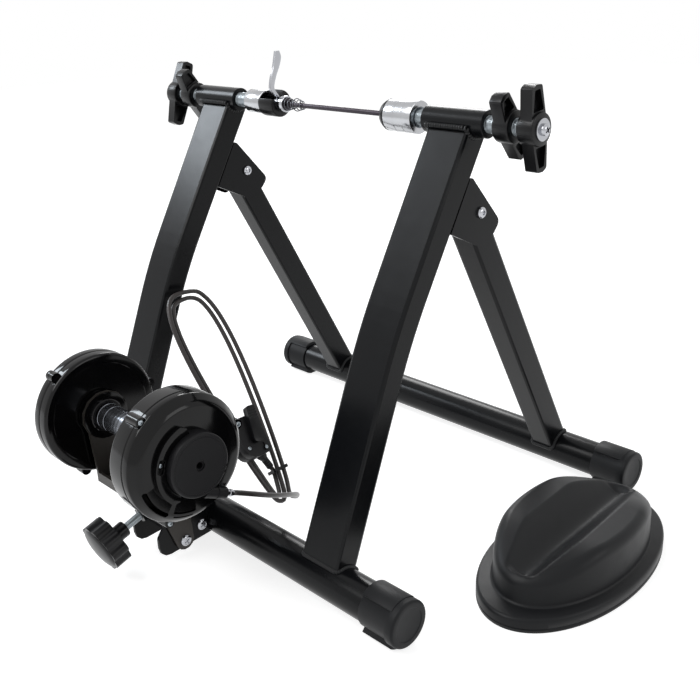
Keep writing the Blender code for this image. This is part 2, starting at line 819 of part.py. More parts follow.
def handle_outline(span, hub):
    """A two-armed handle: a round hub and arms that taper to round tips."""
    reach = span / 2 - HANDLE_ARM_TIP
    top = arc((0.0, reach), HANDLE_ARM_TIP, 0.0, 180.0, 5)
    root = math.degrees(math.acos(HANDLE_ARM_ROOT / hub))
    side = arc((0.0, 0.0), hub, 180.0 - root, 180.0 + root, 4)
    return top + side + [(-y, -z) for y, z in top] + [(-y, -z) for y, z in side]


def pocket_outline(span, hub):
    """The long recess on the outer face of one arm."""
    reach = span / 2 - HANDLE_ARM_TIP
    width = HANDLE_ARM_TIP * 0.45
    root = hub * 0.92
    return arc((0.0, reach), width, 0.0, 180.0, 3) + [(-width, root), (width, root)]


def tilted(tilt):
    """Facing X, with the outline turned so that its top leans forward by the tilt."""
    angle = math.radians(tilt)
    up = Vector((0.0, -math.sin(angle), math.cos(angle)))
    return Matrix((Vector((0.0, up.z, -up.y)), up, AXIS_X)).transposed()


def handle(name, hand, start, span, tilt, carrier, closed_end):
    """A handle on the spindle. A drive handle closes over the spindle's end, a lock handle is open."""
    way = SIDES[hand]
    middle = way * (start + HANDLE_HUB_LENGTH / 2)
    half = HANDLE_ARM_THICKNESS / 2
    facing = tilted(tilt)
    place = at(middle, CLAMP_AXIS)
    item = plate(name, handle_outline(span, HANDLE_HUB_RADIUS), -half, half, facing, place)
    soften(item, HANDLE_BEVEL, 1, 50.0)
    hub_half = HANDLE_HUB_LENGTH / 2
    edge = HANDLE_BEVEL
    profile = [
        (-hub_half, 0.0),
        (-hub_half, HANDLE_HUB_RADIUS - edge),
        (edge - hub_half, HANDLE_HUB_RADIUS),
        (hub_half - edge, HANDLE_HUB_RADIUS),
        (hub_half, HANDLE_HUB_RADIUS - edge),
        (hub_half, 0.0),
    ]
    hub = turned(name + "_hub", profile, place, AXIS_X, MEDIUM)
    tools = []
    for flip in (1.0, -1.0):
        pocket = [(y * flip, z * flip) for y, z in pocket_outline(span, HANDLE_HUB_RADIUS)]
        low = way * (half - HANDLE_POCKET_DEPTH)
        high = way * (half + HANDLE_POCKET_DEPTH)
        shape = plate(name + "_pocket", pocket, min(low, high), max(low, high), facing, place)
        tools.append(shape)
    wall = DRIVE_HUB_END if closed_end else -HANDLE_HUB_LENGTH
    bore_end = start + HANDLE_HUB_LENGTH - wall
    bore = rod(
        name + "_bore",
        at(way * (start - HANDLE_HUB_LENGTH), CLAMP_AXIS),
        at(way * bore_end, CLAMP_AXIS),
        SPINDLE_RADIUS + FIT,
        SMALL,
    )
    tools.append(bore)
    if closed_end:
        reach = start + 2 * HANDLE_HUB_LENGTH
        screw_hole = rod(
            name + "_screw_hole",
            at(way * start, CLAMP_AXIS),
            at(way * reach, CLAMP_AXIS),
            DRIVE_SCREW_RADIUS + FIT,
            FINE,
        )
        tools.append(screw_hole)
    finish(cut(join(item, hub), *tools), carrier, "black_plastic")


def drive_screw(hand, start):
    """The cross screw and washer on the drive handle's end."""
    way = SIDES[hand]
    face = start + HANDLE_HUB_LENGTH
    shank = DRIVE_HUB_END - FIT
    profile = [
        (-shank, 0.0),
        (-shank, DRIVE_SCREW_RADIUS),
        (FIT, DRIVE_SCREW_RADIUS),
        (FIT, DRIVE_WASHER_RADIUS),
        (FIT + DRIVE_WASHER_THICKNESS, DRIVE_WASHER_RADIUS),
        (FIT + DRIVE_WASHER_THICKNESS, DRIVE_SCREW_HEAD),
        (FIT + 0.6 * DRIVE_SCREW_HEAD_HEIGHT + DRIVE_WASHER_THICKNESS, DRIVE_SCREW_HEAD),
        (FIT + DRIVE_SCREW_HEAD_HEIGHT + DRIVE_WASHER_THICKNESS, 0.5 * DRIVE_SCREW_HEAD),
        (FIT + DRIVE_SCREW_HEAD_HEIGHT + DRIVE_WASHER_THICKNESS, 0.0),
    ]
    item = turned(hand + "_drive_screw", profile, at(way * face, CLAMP_AXIS), AXIS_X * way, SMALL)
    finish(item, SPINDLE[hand], "chrome")


def spindle(hand, cup_end, drive_start):
    way = SIDES[hand]
    start = at(way * (cup_end - SPINDLE_SEAT), CLAMP_AXIS)
    length = drive_start + HANDLE_HUB_LENGTH - DRIVE_HUB_END - FIT - (cup_end - SPINDLE_SEAT)
    chamfer = SPINDLE_RADIUS / 8
    profile = [
        (0.0, 0.0),
        (0.0, SPINDLE_RADIUS - chamfer),
        (chamfer, SPINDLE_RADIUS),
        (length - chamfer, SPINDLE_RADIUS),
        (length, SPINDLE_RADIUS - chamfer),
        (length, 0.0),
    ]
    item = turned(hand + "_spindle", profile, start, AXIS_X * way, SMALL)
    finish(item, SPINDLE[hand], "zinc")


def cup(hand, start, length, radius, socket_depth):
    """A polished cup: a socket for the skewer's end on one side, a seat for the spindle on the other."""
    way = SIDES[hand]
    seat = length - SPINDLE_SEAT - FIT
    profile = [
        (socket_depth, 0.0),
        (socket_depth, CUP_SOCKET_RADIUS),
        (0.0, CUP_SOCKET_RADIUS),
        (0.0, radius - CUP_BEVEL),
        (CUP_BEVEL, radius),
        (length - CUP_BEVEL, radius),
        (length, radius - CUP_BEVEL),
        (length, SPINDLE_RADIUS + FIT),
        (seat, SPINDLE_RADIUS + FIT),
        (seat, 0.0),
    ]
    item = turned(hand + "_cup", profile, at(way * start, CLAMP_AXIS), AXIS_X * way, WIDE)
    finish(item, CLAMP[hand], "aluminium")


def right_cup_rim():
    start = at(RIGHT_CUP_X - FIT, CLAMP_AXIS)
    profile = [
        (0.0, CUP_SOCKET_RADIUS),
        (0.0, RIM_RADIUS),
        (RIM_LENGTH - CUP_BEVEL, RIM_RADIUS),
        (RIM_LENGTH, RIM_RADIUS - CUP_BEVEL),
        (RIM_LENGTH, CUP_SOCKET_RADIUS),
    ]
    item = turned("right_cup_rim", profile, start, -AXIS_X, WIDE, closed=True)
    finish(item, CLAMP["right"], "black_plastic")


def left_cup_collar():
    """A black collar with a notch at the front and top, where the skewer's lever comes out."""
    start = at(-LEFT_CUP_X + FIT, CLAMP_AXIS)
    bore = SKEWER_FORK_RADIUS + FIT
    profile = [
        (0.0, bore),
        (0.0, LEFT_CUP_RADIUS),
        (CUP_BEVEL, COLLAR_RADIUS),
        (COLLAR_LENGTH - CUP_BEVEL, COLLAR_RADIUS),
        (COLLAR_LENGTH, COLLAR_RADIUS - CUP_BEVEL),
        (COLLAR_LENGTH, bore),
    ]
    item = turned("left_cup_collar", profile, start, AXIS_X, WIDE, closed=True)
    middle = 90.0 + COLLAR_NOTCH_TURN
    reach = 3 * COLLAR_RADIUS
    wedge = [tuple(CLAMP_AXIS)] + arc(
        CLAMP_AXIS, reach, middle - COLLAR_NOTCH_ANGLE, middle + COLLAR_NOTCH_ANGLE, 4
    )
    low = -LEFT_CUP_X - COLLAR_LENGTH
    high = -LEFT_CUP_X + 2 * COLLAR_LENGTH
    notch = plate("collar_notch", wedge, low, high)
    finish(cut(item, notch), CLAMP["left"], "black_plastic")


def skewer():
    """The rod, its fork-shaped head, two cone springs, the cam lever and the nut."""
    carrier = CLAMP["left"]
    head = [
        (0.0, 0.0),
        (0.0, SKEWER_HEAD_RADIUS - CUP_BEVEL),
        (CUP_BEVEL, SKEWER_HEAD_RADIUS),
        (SKEWER_HEAD_RIM, SKEWER_HEAD_RADIUS),
        (SKEWER_HEAD_RIM + CUP_BEVEL, SKEWER_FORK_RADIUS),
        (SKEWER_FORK_LENGTH, SKEWER_FORK_RADIUS),
        (SKEWER_FORK_LENGTH, 0.0),
    ]
    item = turned("skewer_head", head, at(SKEWER_HEAD_X, CLAMP_AXIS), -AXIS_X, MEDIUM)
    half = SKEWER_SLOT / 2
    reach = 3 * SKEWER_FORK_RADIUS
    slot = box(
        "skewer_head_slot",
        (SKEWER_HEAD_X - reach, CLAMP_Y - half, CLAMP_Z - LEVER_CAM_RADIUS - FIT),
        (SKEWER_PIVOT_X + LEVER_CAM_RADIUS + FIT, CLAMP_Y + half, CLAMP_Z + reach),
    )
    finish(cut(item, slot), carrier, "chrome")

    start = at(SKEWER_HEAD_X + FIT, CLAMP_AXIS)
    length = SKEWER_ROD_END - SKEWER_HEAD_X
    chamfer = SKEWER_RADIUS / 5
    profile = [
        (0.0, 0.0),
        (0.0, SKEWER_RADIUS),
        (length - chamfer, SKEWER_RADIUS),
        (length, SKEWER_RADIUS - chamfer),
        (length, 0.0),
    ]
    finish(turned("skewer_rod", profile, start, AXIS_X, FINE), carrier, "dark_steel")

    nut = [
        (0.0, SKEWER_RADIUS + FIT),
        (0.0, 0.8 * SKEWER_NUT_RADIUS),
        (0.2 * SKEWER_NUT_LENGTH, SKEWER_NUT_RADIUS),
        (0.7 * SKEWER_NUT_LENGTH, SKEWER_NUT_RADIUS),
        (SKEWER_NUT_LENGTH, 0.7 * SKEWER_NUT_RADIUS),
        (SKEWER_NUT_LENGTH, SKEWER_RADIUS + FIT),
    ]
    item = turned("skewer_nut", nut, at(SKEWER_NUT_X, CLAMP_AXIS), AXIS_X, SMALL, closed=True)
    finish(item, NUT, "chrome")

    first_start = SKEWER_HEAD_X + FIT + SPRING_WIRE
    second_start = first_start + SPRING_LENGTH + SPRING_WIRE
    for name, start_x in (("outer_skewer_spring", first_start), ("inner_skewer_spring", second_start)):
        finish(cone_spring(name, start_x), carrier, "steel")

    width = LEVER_WIDTH / 2
    cam = rod(
        "lever_cam",
        (SKEWER_PIVOT_X, CLAMP_Y - width, CLAMP_Z),
        (SKEWER_PIVOT_X, CLAMP_Y + width, CLAMP_Z),
        LEVER_CAM_RADIUS,
        SMALL,
    )
    blade = LEVER_THICKNESS / 2
    arm = plate("skewer_lever", lever_outline(), SKEWER_PIVOT_X - blade, SKEWER_PIVOT_X + blade)
    soften(arm, LEVER_THICKNESS / 4, 1, 40.0)
    finish(join(arm, cam), LEVER, "chrome")


def cone_spring(name, start_x):
    """A cone-shaped wire spring around the skewer's rod. Its least gap to itself is printed."""
    points = []
    steps = SPRING_TURNS * 8
    for step in range(steps + 1):
        share = step / steps
        angle = 2 * math.pi * SPRING_TURNS * share
        radius = SPRING_BIG_RADIUS + (SPRING_SMALL_RADIUS - SPRING_BIG_RADIUS) * share
        x = start_x + (SPRING_LENGTH - 2 * SPRING_WIRE) * share
        points.append(Vector((x, CLAMP_Y + radius * math.cos(angle), CLAMP_Z + radius * math.sin(angle))))
    print(name, "least gap to itself", round(1000 * least_gap(points, SPRING_WIRE, 6), 2), "mm")
    return tube(name, points, SPRING_WIRE, 1)


def least_gap(points, radius, apart):
    """The least free distance between stretches of a wire that lie some points apart along it."""
    least = 1.0
    for first in range(len(points)):
        for second in range(first + apart, len(points)):
            least = min(least, (points[first] - points[second]).length - 2 * radius)
    return least


def lever_outline():
    """The cam lever from the side, as (Y, Z): it bows forward out of the notch, then rises."""
    spine = (
        (0.0000, 0.0000, 0.0036),
        (-0.0008, 0.0045, 0.0029),
        (-0.0045, 0.0095, 0.0034),
        (-0.0082, 0.0135, 0.0034),
        (-0.0090, 0.0180, 0.0034),
        (-0.0062, 0.0275, 0.0040),
        (-0.0018, 0.0370, 0.0048),
        (0.0006, 0.0455, 0.0050),
        (0.0004, 0.0525, 0.0034),
    )
    front = [(CLAMP_Y + y - half, CLAMP_Z + z) for y, z, half in spine]
    back = [(CLAMP_Y + y + half, CLAMP_Z + z) for y, z, half in spine]
    return back + front[::-1]


def mount_bracket():
    """A folded bracket on the front tube: two plates, a front web and a welded nut for the screw."""
    outline = rounded(
        [
            (-0.0735, 0.0075, 0.011),
            (-0.0050, 0.0125, 0.0),
            (-0.0050, 0.0405, 0.0),
            (-0.0270, 0.0600, 0.006),
            (-0.0660, 0.0620, 0.003),
            (-0.0660, 0.0400, 0.006),
            (-0.0735, 0.0300, 0.006),
        ]
    )
    item = plate("mount_bracket", outline, PLATE_LEFT, PLATE_RIGHT)
    inner_left = PLATE_LEFT + PLATE_SHEET
    inner_right = PLATE_RIGHT - PLATE_SHEET
    web_back = -0.0660 + PLATE_SHEET
    behind = box("bracket_hollow", (inner_left, web_back, -0.010), (inner_right, 0.030, 0.090))
    below = box("bracket_foot_gap", (inner_left, -0.090, -0.010), (inner_right, web_back + FIT, 0.0405))
    nut_start = screw_point(-0.0280)
    nut_end = screw_point(-0.0150)
    nut = rod("tension_nut", nut_start, nut_end, 0.0078, 6)
    screw_hole = rod(
        "tension_hole",
        screw_point(-0.040),
        screw_point(0.0),
        TENSION_RADIUS + FIT,
        FINE,
    )
    cope = rod(
        "bracket_cope",
        at(2 * PLATE_LEFT, FRONT_AXIS),
        at(-2 * PLATE_LEFT, FRONT_AXIS),
        BASE_RADIUS + FIT,
        WIDE,
    )
    holes = [
        cross_hole("pivot_hole", PIVOT_Y, PIVOT_Z),
        cross_hole("fixing_hole", FIXING_Y, FIXING_Z),
    ]
    cut(item, behind, below)
    join(item, nut)
    finish(cut(item, cope, screw_hole, *holes), STAND, "black_paint")


def cross_hole(name, y, z):
    radius = SMALL_BOLT_RADIUS + FIT
    return rod(name, (2 * PLATE_LEFT, y, z), (-2 * PLATE_LEFT, y, z), radius, FINE)


def cross_bolt(name, y, z, low, high):
    """A bolt through both plates, with a round head on the right and a nut on the left."""
    start = low - FIT - SMALL_BOLT_HEAD_HEIGHT
    length = high + FIT + SMALL_BOLT_HEAD_HEIGHT - start
    head = SMALL_BOLT_HEAD
    profile = [
        (0.0, 0.0),
        (0.0, head),
        (SMALL_BOLT_HEAD_HEIGHT, head),
        (SMALL_BOLT_HEAD_HEIGHT, SMALL_BOLT_RADIUS),
        (length - SMALL_BOLT_HEAD_HEIGHT, SMALL_BOLT_RADIUS),
        (length - SMALL_BOLT_HEAD_HEIGHT, head),
        (length - SMALL_BOLT_HEAD_HEIGHT / 3, head),
        (length, 0.6 * head),
        (length, 0.0),
    ]
    finish(turned(name, profile, (start, y, z), AXIS_X, FINE), STAND, "zinc")


def screw_point(distance):
    """A point on the tension screw's axis, from its tip."""
    place = Vector((TENSION_Y, TENSION_Z)) + TENSION_WAY * distance
    return at(TENSION_X, place)


def tension_screw():
    tip = -TENSION_GAP
    profile = [
        (0.0, 0.0),
        (0.0, TENSION_RADIUS),
        (TENSION_LENGTH - TENSION_RADIUS / 2, TENSION_RADIUS),
        (TENSION_LENGTH, TENSION_RADIUS / 3),
        (TENSION_LENGTH, 0.0),
    ]
    direction = at(0.0, TENSION_WAY)
    rod_start = screw_point(tip - TENSION_LENGTH)
    item = turned("tension_rod", profile, rod_start, direction, FINE)
    finish(item, TENSION_SLIDE, "zinc")

    outline = []
    steps = 4 * KNOB_LOBES
    for step in range(steps):
        angle = 2 * math.pi * step / steps
        radius = KNOB_RADIUS - KNOB_LOBE_DEPTH * (0.5 - 0.5 * math.cos(KNOB_LOBES * angle))
        outline.append((radius * math.cos(angle), radius * math.sin(angle)))
    across = at(0.0, (-TENSION_WAY.y, TENSION_WAY.x))
    facing = Matrix((across.cross(direction), across, direction)).transposed()
    back = -KNOB_HUB_START - KNOB_HUB_LENGTH
    front = back - KNOB_THICKNESS
    item = plate("tension_knob", outline, front, back, facing, screw_point(0.0))
    soften(item, KNOB_LOBE_DEPTH / 3, 1, 50.0)
    hub = rod(
        "knob_hub",
        screw_point(back - KNOB_THICKNESS / 2),
        screw_point(-KNOB_HUB_START),
        KNOB_HUB_RADIUS,
        FINE,
    )
    crown = turned(
        "knob_crown",
        [(0.0, 0.0), (0.0, 0.86 * KNOB_RADIUS), (0.6 * KNOB_CROWN, 0.6 * KNOB_RADIUS), (KNOB_CROWN, 0.0)],
        screw_point(front + FIT),
        -direction,
        MEDIUM,
    )
    hole = rod(
        "knob_hole",
        screw_point(tip - TENSION_LENGTH - FIT),
        screw_point(0.0),
        TENSION_RADIUS + FIT,
        FINE,
    )
    finish(cut(join(item, hub, crown), hole), TENSION_KNOB, "black_plastic")


def yoke():
    """The sheet-steel yoke: a base with two roller arms above, and two pivot cheeks and a tab below."""
    right = ROLLER_RIGHT + FIT + BEARING_HUB_REACH / 4
    base = box(
        "yoke",
        (YOKE_LEFT, YOKE_FRONT_Y, YOKE_BASE_Z),
        (right + YOKE_SHEET, YOKE_REAR_Y, YOKE_BASE_Z + YOKE_SHEET),
    )
    lip = box(
        "yoke_lip",
        (YOKE_LEFT, YOKE_FRONT_Y, YOKE_BASE_Z),
        (right + YOKE_SHEET, YOKE_FRONT_Y + YOKE_SHEET, YOKE_BASE_Z + YOKE_LIP),
    )
    shapes = [lip]
    sweep = arc(ROLLER_AXIS, YOKE_BOSS, -35.0, 215.0, 9)
    arm_outline = sweep + [(YOKE_FRONT_Y, YOKE_BASE_Z + YOKE_LIP), (YOKE_FRONT_Y, YOKE_BASE_Z)]
    arm_outline += [(YOKE_REAR_Y, YOKE_BASE_Z), (YOKE_REAR_Y, YOKE_BASE_Z + YOKE_LIP)]
    hole = circle(ROLLER_AXIS, BEARING_HUB + FIT, MEDIUM)
    for name, low in (("left_arm", YOKE_LEFT), ("right_arm", right)):
        shapes.append(plate(name, arm_outline, low, low + YOKE_SHEET, holes=(hole,)))
    cheek = arc((PIVOT_Y, PIVOT_Z), PIVOT_LOBE, -160.0, 20.0, 6)
    cheek += [(YOKE_REAR_Y, YOKE_BASE_Z + YOKE_SHEET / 2), (-0.083, YOKE_BASE_Z + YOKE_SHEET / 2)]
    cheek += [(-0.0640, 0.0400)]
    bolt_hole = circle((PIVOT_Y, PIVOT_Z), SMALL_BOLT_RADIUS + FIT, FINE)
    for name, low in (
        ("left_cheek", PLATE_LEFT - FIT - CHEEK_SHEET),
        ("right_cheek", PLATE_RIGHT + FIT),
    ):
        shapes.append(plate(name, cheek, low, low + CHEEK_SHEET, holes=(bolt_hole,)))
    across = Vector((-TENSION_WAY.y, TENSION_WAY.x))
    contact = Vector((TENSION_Y, TENSION_Z))
    rise = (YOKE_BASE_Z + YOKE_SHEET / 2 - TENSION_Z) / across.y
    low_end = contact - across * 0.008
    high_end = contact + across * rise
    back = TENSION_WAY * YOKE_SHEET
    tab_outline = [tuple(low_end), tuple(low_end + back), tuple(high_end + back), tuple(high_end)]
    tab = plate("push_tab", tab_outline, TENSION_X - TAB_WIDTH / 2, TENSION_X + TAB_WIDTH / 2)
    shapes.append(tab)
    finish(join(base, *shapes), UNIT, "olive_paint")


def bearing_housing(hand):
    """A flanged housing in the yoke's arm, with the hole that the roller's shaft turns in."""
    left = hand == "left"
    roller_end = ROLLER_LEFT if left else ROLLER_RIGHT
    way = -1.0 if left else 1.0
    arm_inner = YOKE_LEFT + YOKE_SHEET if left else ROLLER_RIGHT + FIT + BEARING_HUB_REACH / 4
    inner = abs(arm_inner) - BEARING_HUB_REACH if left else abs(roller_end) + FIT
    arm_outer = abs(arm_inner) + YOKE_SHEET
    flange = arm_outer + FIT - inner
    bore = SHAFT_RADIUS + FIT
    profile = [
        (0.0, bore),
        (0.0, BEARING_HUB),
        (flange, BEARING_HUB),
        (flange, BEARING_FLANGE),
        (flange + BEARING_FLANGE_THICKNESS, BEARING_FLANGE),
        (flange + BEARING_FLANGE_THICKNESS, bore),
    ]
    start = at(way * inner, ROLLER_AXIS)
    item = turned(hand + "_bearing_housing", profile, start, AXIS_X * way, MEDIUM, closed=True)
    finish(item, UNIT, "steel")


def lugs(name, low, high):
    """The three screw lugs on a cover's rim."""
    bars = []
    for angle in LUG_ANGLES:
        centre = arc(ROLLER_AXIS, LUG_ORBIT, angle, angle, 1)[0]
        bars.append(rod(name + "_lug", at(low, centre), at(high, centre), LUG_RADIUS, FINE))
    return bars


def cover(name, start_x, way, outer, inner, lug_span, *tools):
    """A cover half: the outer form with its lugs, hollowed by the inner form."""
    start = at(start_x, ROLLER_AXIS)
    item = turned(name, outer, start, AXIS_X * way, LARGE)
    low, high = sorted(start_x + way * distance for distance in lug_span)
    hollow = turned(name + "_hollow", inner, start, AXIS_X * way, LARGE)
    finish(cut(join(item, *lugs(name, low, high)), hollow, *tools), UNIT, "gloss_plastic")


def cover_back(name, start_x, way, depth):
    """The cover half that faces the roller: a dish with a hole for the shaft."""
    outer = [
        (0.0, 0.0),
        (0.0, COVER_RADIUS - COVER_EDGE),
        (COVER_EDGE, COVER_RADIUS),
        (depth, COVER_RADIUS),
        (depth, 0.0),
    ]
    inner = [
        (COVER_WALL, 0.0),
        (COVER_WALL, COVER_RADIUS - COVER_WALL - COVER_EDGE / 2),
        (COVER_WALL + COVER_EDGE / 2, COVER_RADIUS - COVER_WALL),
        (2 * depth, COVER_RADIUS - COVER_WALL),
        (2 * depth, 0.0),
    ]
    reach = 2 * COVER_WALL
    hole = rod(
        name + "_shaft_hole",
        at(start_x - reach, ROLLER_AXIS),
        at(start_x + reach, ROLLER_AXIS),
        COVER_HOLE,
        SMALL,
    )
    cover(name, start_x, way, outer, inner, (COVER_EDGE, depth), hole)


def flywheel_cover_outer():
    start_x = LEFT_COVER_X - LEFT_INNER_DEPTH - FIT
    depth = LEFT_OUTER_DEPTH
    inside = COVER_RADIUS - COVER_WALL
    outer = [
        (0.0, 0.0),
        (0.0, COVER_RADIUS),
        (depth - COVER_EDGE, COVER_RADIUS),
        (depth, COVER_RADIUS - COVER_EDGE),
        (depth, 0.0),
    ]
    inner = [
        (-depth, 0.0),
        (-depth, inside),
        (depth - COVER_WALL - COVER_EDGE / 2, inside),
        (depth - COVER_WALL, inside - COVER_EDGE / 2),
        (depth - COVER_WALL, 0.0),
    ]
    cover("flywheel_cover_outer", start_x, -1.0, outer, inner, (0.0, depth - COVER_EDGE))


def drum_housing_front():
    """The cover half on the drum side: its face is open round the pulley and has three slots."""
    name = "drum_housing_front"
    start_x = RIGHT_COVER_X + RIGHT_BACK_DEPTH + FIT
    depth = RIGHT_FRONT_DEPTH
    inside = COVER_RADIUS - COVER_WALL
    outer = [
        (0.0, 0.0),
        (0.0, COVER_RADIUS),
        (depth - 3 * COVER_EDGE, COVER_RADIUS),
        (depth - COVER_EDGE, COVER_RADIUS - 1.5 * COVER_EDGE),
        (depth, COVER_RADIUS - 3 * COVER_EDGE),
        (depth, 0.0),
    ]
    inner = [
        (-depth, 0.0),
        (-depth, inside),
        (depth - 3 * COVER_EDGE, inside),
        (depth - COVER_WALL, inside - 3 * COVER_EDGE),
        (depth - COVER_WALL, 0.0),
    ]
    opening = rod(
        name + "_opening",
        at(start_x - depth, ROLLER_AXIS),
        at(start_x + 2 * depth, ROLLER_AXIS),
        PULLEY_RADIUS + FIT,
        WIDE,
    )
    slots = []
    for first, last, orbit, width in (
        (-165.0, -128.0, SLOT_ORBIT, SLOT_WIDTH),
        (-119.0, -93.0, SLOT_ORBIT - 0.0035, SLOT_WIDTH / 3),
        (-117.0, -95.0, SLOT_ORBIT + 0.0005, SLOT_WIDTH / 3),
    ):
        far = arc(ROLLER_AXIS, orbit + width / 2, first, last, 5)
        near = arc(ROLLER_AXIS, orbit - width / 2, first, last, 5)
        slots.append(plate(name + "_slot", far + near[::-1], start_x + COVER_WALL, start_x + 2 * depth))
    cover(name, start_x, 1.0, outer, inner, (0.0, depth - 2 * COVER_EDGE), opening, *slots)


def drum_cover():
    """The raised drum on the right with its centre hole and the barrel that the cable enters."""
    face = RIGHT_DRUM_FACE
    profile = [
        (0.0, DRUM_RADIUS - DRUM_WALL),
        (0.0, DRUM_RADIUS),
        (DRUM_DEPTH - 0.001, DRUM_RADIUS),
        (DRUM_DEPTH, DRUM_RADIUS - 0.001),
        (DRUM_DEPTH, DRUM_HOLE),
        (DRUM_DEPTH - DRUM_WALL, DRUM_HOLE),
        (DRUM_DEPTH - DRUM_WALL, DRUM_RADIUS - DRUM_WALL),
    ]
    item = turned("drum_cover", profile, at(face, ROLLER_AXIS), AXIS_X, WIDE, closed=True)
    end = Vector((SOCKET_Y, SOCKET_Z))
    barrel = rod(
        "cable_barrel",
        at(SOCKET_X, end - SOCKET_WAY * SOCKET_LENGTH),
        at(SOCKET_X, end),
        SOCKET_RADIUS,
        FINE,
    )
    hollow = rod(
        "drum_hollow",
        at(face - DRUM_DEPTH, ROLLER_AXIS),
        at(face + DRUM_DEPTH - DRUM_WALL, ROLLER_AXIS),
        DRUM_RADIUS - DRUM_WALL,
        WIDE,
    )
    passage = rod(
        "cable_passage",
        at(SOCKET_X, end - SOCKET_WAY * 2 * SOCKET_LENGTH),
        at(SOCKET_X, end + SOCKET_WAY * SOCKET_LENGTH),
        FERRULE_RADIUS / 2,
        FINE,
    )
    finish(cut(join(item, barrel), hollow, passage), UNIT, "black_plastic")

    ferrule = [
        (0.0, 0.0),
        (0.0, FERRULE_RADIUS),
        (0.35 * FERRULE_LENGTH, FERRULE_RADIUS),
        (0.40 * FERRULE_LENGTH, 0.85 * FERRULE_RADIUS),
        (FERRULE_LENGTH, 0.80 * FERRULE_RADIUS),
        (FERRULE_LENGTH, 0.0),
    ]
    start = at(SOCKET_X, end + SOCKET_WAY * FIT)
    finish(turned("cable_ferrule", ferrule, start, at(0.0, SOCKET_WAY), FINE), UNIT, "steel")


def roller_group():
    """Everything that spins with the tyre: the roller, its shaft, the flywheel and the rotor disc."""
    bore = SHAFT_RADIUS + FIT
    chamfer = ROLLER_RADIUS / 10
    length = ROLLER_RIGHT - ROLLER_LEFT
    ring = [
        (0.0, bore),
        (0.0, ROLLER_RADIUS - chamfer),
        (chamfer, ROLLER_RADIUS),
        (length - chamfer, ROLLER_RADIUS),
        (length, ROLLER_RADIUS - chamfer),
        (length, bore),
    ]
    item = turned("roller", ring, at(ROLLER_LEFT, ROLLER_AXIS), AXIS_X, WIDE, closed=True)
    finish(item, SPINNING, "steel")
    shaft = rod("roller_shaft", at(SHAFT_LEFT, ROLLER_AXIS), at(SHAFT_RIGHT, ROLLER_AXIS), SHAFT_RADIUS, SMALL)
    finish(shaft, SPINNING, "steel")

    start_x = LEFT_COVER_X - COVER_WALL - 2 * FIT
    hub = 2.5 * SHAFT_RADIUS
    rim = FLYWHEEL_RADIUS - FLYWHEEL_RIM
    wheel = [
        (0.0, bore),
        (0.0, FLYWHEEL_RADIUS),
        (FLYWHEEL_RIM, FLYWHEEL_RADIUS),
        (FLYWHEEL_RIM, rim),
        (FLYWHEEL_WEB, rim),
        (FLYWHEEL_WEB, hub),
        (FLYWHEEL_RIM, hub),
        (FLYWHEEL_RIM, bore),
    ]
    item = turned("flywheel", wheel, at(start_x, ROLLER_AXIS), -AXIS_X, WIDE, closed=True)
    finish(item, SPINNING, "steel")

    disc = [
        (0.0, bore),
        (0.0, hub),
        (ROTOR_THICKNESS / 4, hub),
        (ROTOR_THICKNESS / 4, ROTOR_RADIUS),
        (ROTOR_THICKNESS, ROTOR_RADIUS),
        (ROTOR_THICKNESS, bore),
    ]
    item = turned("rotor_disc", disc, at(ROTOR_X, ROLLER_AXIS), AXIS_X, WIDE, closed=True)
    finish(item, SPINNING, "aluminium")


def magnet_carrier():
    """A plate of magnets beside the rotor disc, with the pulley that the cable turns."""
    face = RIGHT_DRUM_FACE + DRUM_DEPTH - DRUM_WALL - 2 * FIT - CARRIER_X
    shoulder = DRUM_HOLE - FIT
    profile = [
        (0.0, 0.0),
        (0.0, CARRIER_RADIUS),
        (CARRIER_PLATE, CARRIER_RADIUS),
        (CARRIER_PLATE, PULLEY_RADIUS),
        (0.7 * face, PULLEY_RADIUS),
        (0.74 * face, PULLEY_RADIUS - 0.0015),
        (0.90 * face, PULLEY_RADIUS - 0.0015),
        (0.94 * face, PULLEY_RADIUS),
        (face, PULLEY_RADIUS),
        (face, shoulder),
        (face + 0.6 * DRUM_WALL, shoulder),
        (face + 0.6 * DRUM_WALL, 0.0),
    ]
    item = turned("magnet_carrier", profile, at(CARRIER_X, ROLLER_AXIS), AXIS_X, WIDE)
    magnets = []
    for index in range(MAGNET_COUNT):
        centre = arc(ROLLER_AXIS, MAGNET_ORBIT, 60.0 * index, 60.0 * index, 1)[0]
        low = at(CARRIER_X - MAGNET_PROUD, centre)
        high = at(CARRIER_X + CARRIER_PLATE / 2, centre)
        magnets.append(rod("magnet", low, high, MAGNET_RADIUS, FINE))
    finish(join(item, *magnets), CARRIER, "black_plastic")


def hank_point(turns):
    """A point on the hank. Whole turns start at the bottom and go up the side nearer the rear."""
    angle = 2 * math.pi * turns
    inset = HANK_PITCH * turns
    length = HANK_LENGTH - 2 * inset
    along = inset + length * (0.5 - 0.5 * math.cos(angle))
    swing = math.copysign(abs(math.sin(angle)) ** HANK_ROUNDNESS, math.sin(angle))
    across = (HANK_WAIST - inset + HANK_SPREAD * along) * swing
    return HANK_ORIGIN + AXIS_Y * across + HANK_UP * along + HANK_OUT * (HANK_LIFT * (HANK_LOOPS - turns))


def boot_mouth():
    """The point where the cable enters the shifter's boot, and the way it goes in."""
    mouth = HANK_ORIGIN + AXIS_Y * BOOT_ACROSS + HANK_UP * BOOT_ALONG + HANK_OUT * BOOT_OUT
    root = HANK_ORIGIN + HANK_UP * (SHIFTER_ALONG - SHIFTER_HEIGHT / 2 + BOOT_ROOT_RADIUS)
    root += HANK_OUT * SHIFTER_THICKNESS * 0.6
    root.y = SHIFTER_Y + SHIFTER_WIDTH / 4
    return mouth, (root - mouth).normalized(), root


